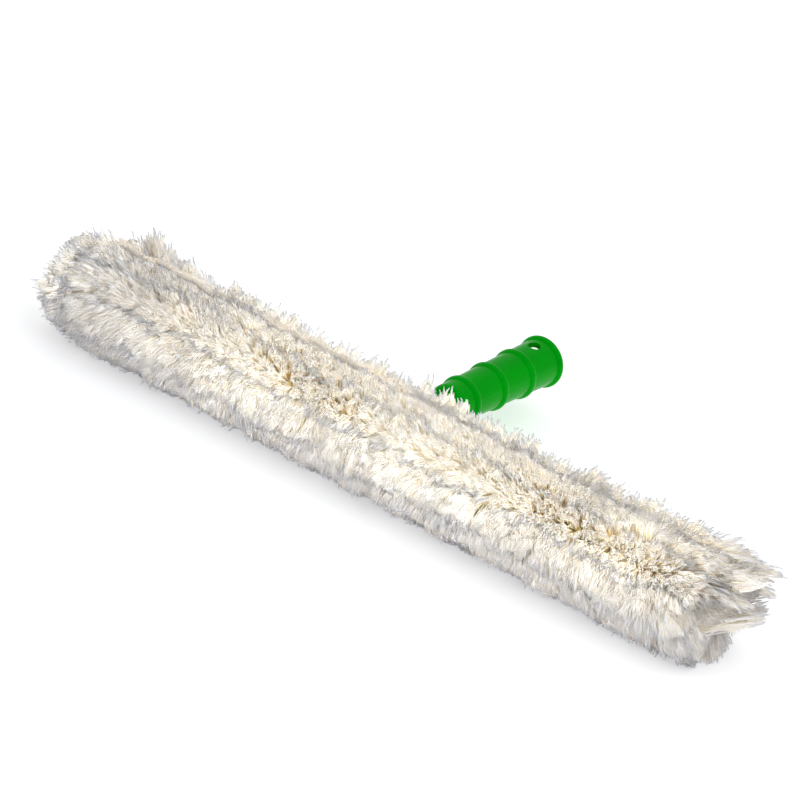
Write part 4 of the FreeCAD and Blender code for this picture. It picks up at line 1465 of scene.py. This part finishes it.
@dataclass
class BackingSleeve:
    """Cloth that carries the pile: tube, hem, end panel, closing tapes, neck gusset and seams."""

    plan: SleevePlan
    seed: int = 5
    thickness: float = 1.1 * MM
    tube_steps: int = 60
    hem_rise: float = 0.5 * MM
    hem_thickness: float = 2.0 * MM
    hem_rounding: float = 0.7 * MM
    hem_steps: int = 3

    panel_gap: float = 0.2 * MM
    panel_rings: int = 5
    panel_ring: float = 1.9 * MM
    panel_bulge: float = 1.6 * MM

    leaf_thickness: float = 0.75 * MM
    leaf_sink: float = 0.6 * MM
    leaf_step: float = 2.5 * MM
    leaf_rows: int = 7
    leaf_waves: int = 6
    leaf_wave_length: Span = (14 * MM, 60 * MM)
    leaf_wave: float = 1.9 * MM
    leaf_sway: float = 0.5 * MM
    leaf_apart: float = 0.55
    leaf_curl: float = 1.5
    parting_level: float = 0.75
    parting_wave: float = 0.5

    gusset_wall: float = 1.4 * MM
    gusset_rows: int = 5
    gusset_turns: int = 18
    gusset_steps: int = 6

    tape_gap: float = 0.2 * MM
    tape_rounding: float = 0.3 * MM
    tape_columns: int = 90
    tape_rows: int = 6
    tape_seam: float = 1.3 * MM

    thread: float = 0.55 * MM
    stitch_pitch: float = 4.2 * MM
    stitch_share: float = 0.7
    stitch_rise: float = 0.5
    stitch_sink: float = 0.35
    stitch_end: float = 0.02
    seam_row_front: float = 1.1 * MM
    seam_row_rise: float = 3 * MM
    loop_pitch: float = 1.25 * MM
    loop_radius: float = 0.45 * MM
    loop_scatter: float = 0.12 * MM
    loop_path: tuple[Triple, ...] = (
        (-0.5 * MM, -1.1 * MM, -1.7 * MM),
        (-0.2 * MM, -0.9 * MM, 0.3 * MM),
        (0.2 * MM, 0.9 * MM, 0.3 * MM),
        (0.5 * MM, 1.1 * MM, -1.7 * MM),
    )
    loop_tones: Span = (0.0, 0.35)
    stitch_tones: Span = (0.0, 0.5)

    nap_edge: float = 1.6 * MM
    nap_pitch: float = 1.9 * MM
    nap_height: float = 1.5 * MM
    nap_radius: float = 0.17 * MM
    nap_range: Span = (0.8, 1.1)
    nap_rise: tuple[float, ...] = (-0.3, 0.75, 1.0, 0.72)
    nap_reach: tuple[float, ...] = (0.0, 0.0, 0.3, 0.62)
    nap_tones: Span = (0.0, 0.6)

    def tube(self) -> Piece:
        """Makes the slotted cloth tube."""
        bm = self.plan.tube(0.0, self.plan.left, self.plan.right, self.tube_steps)
        thicken(bm, self.thickness)
        return piece_from("sleeve_backing", bm)

    def hem(self) -> Piece:
        """Makes the rolled hem round the open mouth."""
        low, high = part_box("mouth_hem")
        bm = self.plan.tube(self.hem_rise, low.x, high.x, self.hem_steps)
        thicken(bm, self.hem_thickness)
        round_rims(bm, self.hem_rounding, segments=3)
        return piece_from("mouth_hem_roll", bm)

    def end_panel(self) -> Piece:
        """Makes the bulged panel that closes the right end."""
        plan = self.plan
        low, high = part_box("end_panel")
        bm = plan.ring(low.x, -self.panel_gap, filled=True)
        for _ in range(self.panel_rings):
            cap = max(bm.faces, key=lambda face: len(face.verts))
            bmesh.ops.inset_region(bm, faces=[cap], thickness=self.panel_ring, depth=0.0)
        for vert in bm.verts:
            across = vert.co.y / (plan.half_flat + plan.radius)
            off = math.hypot(across, (vert.co.z - plan.axis_z) / plan.radius)
            vert.co.x += self.panel_bulge * max(0.0, 1 - off**2)
        face_out(bm)
        thicken(bm, high.x - low.x)
        return piece_from("end_panel_cloth", bm)

    def leaf_spots(self, half: SeamHalf, side: int, x: np.ndarray, up: np.ndarray) -> np.ndarray:
        """Points on one of a seam's two leaves, which wave and part towards their free edge.

        Args:
            half: Which half of the seam.
            side: -1 for the front leaf, 1 for the rear one.
            x: Places along the bar.
            up: Share of the leaf's height.

        Returns:
            Points, one row each.
        """
        node, parting, below = half.value
        rng = np.random.default_rng(self.seed + side)
        lengths = rng.uniform(*self.leaf_wave_length, self.leaf_waves)
        phases = rng.uniform(0, 2 * math.pi, self.leaf_waves)
        base = self.plan.axis_z + self.plan.radius - self.leaf_sink
        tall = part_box(node)[1].z - base - below
        wave = np.sin(2 * np.pi * x[:, None] / lengths + phases).sum(-1) / math.sqrt(self.leaf_waves)
        opening = parting * up**self.leaf_curl * (self.parting_level + self.parting_wave * wave)
        y = self.plan.seam_y + side * (self.leaf_apart * self.leaf_thickness + opening)
        y = y + self.leaf_sway * wave * up
        return np.stack([x, y, base + up * (tall + self.leaf_wave * wave)], axis=-1)

    def leaf(self, half: SeamHalf, side: int) -> Piece:
        """Makes one of a seam's two cloth leaves, which stand up in the pile's groove.

        Args:
            half: Which half of the seam.
            side: -1 for the front leaf, 1 for the rear one.

        Returns:
            The leaf.
        """
        node = half.value[0]
        low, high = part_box(node)
        length = high.x - low.x
        bm = bmesh.new()
        steps = round(length / self.leaf_step)
        bmesh.ops.create_grid(bm, x_segments=steps, y_segments=self.leaf_rows, size=0.5)
        flat = np.array([vert.co for vert in bm.verts]) + 0.5
        spots = self.leaf_spots(half, side, low.x + flat[:, 0] * length, flat[:, 1])
        for vert, spot in zip(bm.verts, spots, strict=True):
            vert.co = spot
        face_out(bm)
        thicken(bm, self.leaf_thickness)
        face_out(bm)
        place = "front" if side < 0 else "rear"
        return piece_from(f"{node}_{place}_leaf", bm)

    def overlock(self, half: SeamHalf, side: int) -> StrandSet:
        """Thread loops that bind a leaf's free edge.

        Args:
            half: Which half of the seam.
            side: -1 for the front leaf, 1 for the rear one.

        Returns:
            The loops.
        """
        low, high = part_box(half.value[0])
        x = np.arange(low.x + self.loop_pitch, high.x - self.loop_pitch, self.loop_pitch)
        rng = np.random.default_rng(self.seed + 2 * side)
        edge = self.leaf_spots(half, side, x, np.ones(len(x)))
        path = np.array(self.loop_path)
        paths = edge[:, None] + path + rng.normal(0, self.loop_scatter, (len(x), *path.shape))
        return StrandSet(paths, np.full(len(x), self.loop_radius), rng.uniform(*self.loop_tones, len(x)))

    def gusset(self) -> Piece:
        """Makes the cloth band that lines the slot's closed end round the handle's neck."""
        low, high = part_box("neck_gusset")
        axis_z, wall = self.plan.axis_z, self.gusset_wall
        inner = (high.z - low.z) / 2 - wall
        turn_x = high.x - wall - inner
        bm = bmesh.new()
        rows = np.linspace(low.y, high.y, self.gusset_rows)
        ends = [bm.verts.new((turn_x, y, axis_z + inner)) for y in rows]
        edges = [bm.edges.new(pair) for pair in pairwise(ends)]
        spun = bmesh.ops.spin(
            bm,
            geom=[*ends, *edges],
            cent=(turn_x, 0, axis_z),
            axis=(0, 1, 0),
            angle=math.pi,
            steps=self.gusset_turns,
        )["geom_last"]
        for rim in (edges, [e for e in spun if isinstance(e, bmesh.types.BMEdge)]):
            draw_on(bm, rim, (low.x - turn_x) / self.gusset_steps, self.gusset_steps)
        face_out(bm)
        middle = Vector((turn_x, (low.y + high.y) / 2, axis_z))
        inward = [f for f in bm.faces if f.normal.dot(f.calc_center_median() - middle) < 0]
        if len(inward) > len(bm.faces) / 2:
            bmesh.ops.reverse_faces(bm, faces=bm.faces)
        thicken(bm, -wall)
        face_out(bm)
        return piece_from("neck_gusset_band", bm)

    def tape(self, node: str) -> Piece:
        """Makes a woven tape with rounded selvedges.

        Args:
            node: The frame's solid that it fills.

        Returns:
            The tape.
        """
        low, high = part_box(node)
        middle, size = (low + high) / 2, high - low
        bm = bmesh.new()
        bmesh.ops.create_grid(bm, x_segments=self.tape_columns, y_segments=self.tape_rows, size=0.5)
        bmesh.ops.scale(bm, vec=(size.x, size.y, 1), verts=bm.verts)
        bmesh.ops.translate(bm, vec=(middle.x, middle.y, high.z - self.tape_gap), verts=bm.verts)
        thicken(bm, size.z - 2 * self.tape_gap)
        face_out(bm)
        round_rims(bm, self.tape_rounding, segments=2)
        return piece_from(node + "_tape", bm)

    def nap(self, tape: Tape) -> StrandSet:
        """Small hooks in rows, or loops every way, on the inner face of a tape.

        Args:
            tape: Which tape.

        Returns:
            The hooks or loops.
        """
        node, up, curl = tape.value
        low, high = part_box(node)
        rng = np.random.default_rng(self.seed)
        xs = np.arange(low.x + self.nap_edge, high.x - self.nap_edge, self.nap_pitch)
        ys = np.arange(low.y + self.nap_edge, high.y - self.nap_edge, self.nap_pitch)
        x, y = (grid.ravel()[:, None] for grid in np.meshgrid(xs, ys))
        count = len(x)
        face = high.z if up > 0 else low.z
        if tape is Tape.LOOP:
            turn = rng.uniform(0, 2 * np.pi, count)[:, None]
        else:
            turn = np.where(rng.random(count) < 0.5, 0.0, np.pi)[:, None]
        tall = self.nap_height * rng.uniform(*self.nap_range, count)[:, None]
        away = tall * np.array(self.nap_reach) * curl
        z = face + up * tall * np.array(self.nap_rise)
        paths = np.stack([x + away * np.cos(turn), y + away * np.sin(turn), z], axis=-1)
        return StrandSet(paths, np.full(count, self.nap_radius), rng.uniform(*self.nap_tones, count))

    def row(self, left: float, right: float, y: float, z: float, out: Triple) -> StrandSet:
        """A straight row of running stitches along the bar, which rise a little out of the cloth.

        Args:
            left: Where the row starts.
            right: Where it ends.
            y: Its place across the bar.
            z: Its height.
            out: Direction out of the cloth.

        Returns:
            The stitches.
        """
        rng = np.random.default_rng(self.seed)
        x = np.arange(left, right - self.stitch_pitch, self.stitch_pitch)
        starts = np.stack([x, np.full_like(x, y), np.full_like(x, z)], axis=1)
        ends = starts + np.array([self.stitch_share * self.stitch_pitch, 0, 0])
        share = np.array(StrandMaker.steps)[None, :, None]
        along = np.clip(share, self.stitch_end, 1 - self.stitch_end)
        arch = self.stitch_rise * np.sin(np.pi * along) - self.stitch_sink
        paths = starts[:, None] * (1 - share) + ends[:, None] * share
        paths = paths + np.array(out) * arch * self.thread
        return StrandSet(paths, np.full(len(x), self.thread / 2), rng.uniform(*self.stitch_tones, len(x)))

    def build(self, pile: list[Piece]) -> None:
        """Makes and dresses the cloth pieces.

        Args:
            pile: Pieces of pile that the cloth carries.
        """
        plan, maker = self.plan, StrandMaker()
        knit = KnitFinish().make()
        # Webbing: its darker valleys are painted shade, as on the knit
        webbing = KnitFinish(
            "tape_webbing",
            valley_shade=(0.60, 0.53, 0.42),
            crown=(0.86, 0.80, 0.69),
            slub=(0.80, 0.74, 0.62),
            pitch=0.6 * MM,
        ).make()
        thread = ThreadFinish().make()
        tube = on_sleeve(self.tube(), knit, Slot.CLOTH, "sleeve_cloth")
        hem = on_sleeve(self.hem(), knit, Slot.CLOTH, "mouth_hem")
        panel = on_sleeve(self.end_panel(), knit, Slot.CLOTH, "end_panel")
        gusset = on_sleeve(self.gusset(), webbing, Slot.CLOTH, "neck_gusset")
        on_tube = [*pile, hem, gusset]
        for tape in Tape:
            node, up, _ = tape.value
            low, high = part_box(node)
            woven = on_sleeve(self.tape(node), webbing, Slot.TAPE, node)
            nap = on_sleeve(maker.mesh(node + "_nap", self.nap(tape)), thread, Slot.TAPE)
            face = low.z if up > 0 else high.z
            edges = (low.y + self.tape_seam, high.y - self.tape_seam)
            seams = StrandSet.joined([self.row(low.x, high.x, y, face, (0, 0, -up)) for y in edges])
            sewn = on_sleeve(maker.mesh(node + "_stitches", seams), thread, Slot.TAPE)
            on_tube += [woven, nap, sewn]
        for half in SeamHalf:
            node = half.value[0]
            low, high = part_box(node)
            leaves = [on_sleeve(self.leaf(half, side), knit, Slot.CLOTH, node) for side in (-1, 1)]
            row_y, row_z = plan.seam_y - self.seam_row_front, low.z + self.seam_row_rise
            seam = self.row(low.x, high.x, row_y, row_z, (0, -1, 0))
            threads = StrandSet.joined([seam, self.overlock(half, -1), self.overlock(half, 1)])
            sewn = on_sleeve(maker.mesh(node + "_stitches", threads), thread, Slot.CLOTH)
        LOG.info("%s carries %d pieces", tube.name, len(on_tube))


@dataclass(frozen=True)
class Softbox:
    """Square soft light: where it hangs, its side, its watts and its linear colour."""

    name: str
    place: Triple
    size: float
    power: float
    tint: Colour


@dataclass
class Studio:
    """Floor, light and camera."""

    azimuth: float = 32.8
    elevation: float = 27.6
    roll: float = 10.8
    lens: float = 250.0
    sensor: float = 36.0
    clip_end: float = 50.0
    frame_width: float = 0.4535
    target: Triple = (-0.0008, 0.0114, 0.0501)
    floor_half: float = 6.0
    floor_cells: int = 4
    surround: Colour = (0.97, 0.98, 1.0)
    surround_strength: float = 0.69
    bounces: int = 12
    lamps: tuple[Softbox, ...] = (
        Softbox("right_softbox", (0.62, -0.3, 0.72), size=0.9, power=1.35, tint=(1.0, 0.985, 0.965)),
        Softbox("overhead_softbox", (0.4, 0.15, 1.2), size=0.9, power=1.6, tint=(0.94, 0.97, 1.0)),
    )

    def floor(self) -> None:
        """Lays the floor under the sleeve."""
        bm = bmesh.new()
        cells = self.floor_cells
        bmesh.ops.create_grid(bm, x_segments=cells, y_segments=cells, size=self.floor_half)
        piece = piece_from("studio_floor", bm)
        piece.data.materials.append(FloorFinish().make())

    def hang(self, lamp: Softbox) -> None:
        """Hangs a soft light that faces the sleeve."""
        data = bpy.data.lights.new(lamp.name, "AREA")
        data.shape = "SQUARE"
        data.size, data.energy, data.color = lamp.size, lamp.power, lamp.tint
        hung = bpy.data.objects.new(lamp.name, data)
        hung.location = lamp.place
        hung.visible_camera = False
        hung.rotation_euler = (Vector(self.target) - hung.location).to_track_quat("-Z", "Y").to_euler()
        bpy.context.scene.collection.objects.link(hung)

    def light(self) -> None:
        """Sets an even pale surround, a soft light at the right and one overhead."""
        scene = bpy.context.scene
        scene.world = bpy.data.worlds.new("pale_surround")
        scene.world.use_nodes = True
        surround = scene.world.node_tree.nodes["Background"]
        surround.inputs["Color"].default_value = (*self.surround, 1.0)
        surround.inputs["Strength"].default_value = self.surround_strength
        for lamp in self.lamps:
            self.hang(lamp)
        scene.cycles.diffuse_bounces = self.bounces
        scene.view_settings.view_transform = "Standard"

    def camera(self) -> None:
        """Puts the camera at the photograph's angle, far off with a long lens."""
        turn, rise, roll = (math.radians(a) for a in (self.azimuth, self.elevation, self.roll))
        back = Vector((math.sin(turn) * math.cos(rise), -math.cos(turn) * math.cos(rise), math.sin(rise)))
        data = bpy.data.cameras.new("photo_camera")
        data.lens, data.sensor_width, data.clip_end = self.lens, self.sensor, self.clip_end
        camera = bpy.data.objects.new("photo_camera", data)
        camera.rotation_mode = "QUATERNION"
        level = (-back).to_track_quat("-Z", "Y").to_matrix().to_4x4()
        away = self.frame_width * self.lens / self.sensor
        place = Matrix.Translation(Vector(self.target) + back * away)
        camera.matrix_world = place @ level @ Matrix.Rotation(roll, 4, "Z")
        bpy.context.scene.collection.objects.link(camera)
        bpy.context.scene.camera = camera

    def build(self) -> None:
        """Builds the whole setting."""
        self.floor()
        self.light()
        self.camera()


def main() -> None:
    """Builds the scrubber's looks and its setting."""
    logging.basicConfig(level=logging.INFO, format="%(name)s: %(message)s")
    plan = SleevePlan.from_frame()
    TeeBar().build()
    pile = PileFleece(plan).build()
    BackingSleeve(plan).build(pile)
    Studio().build()


if __name__ == "__main__":
    main()
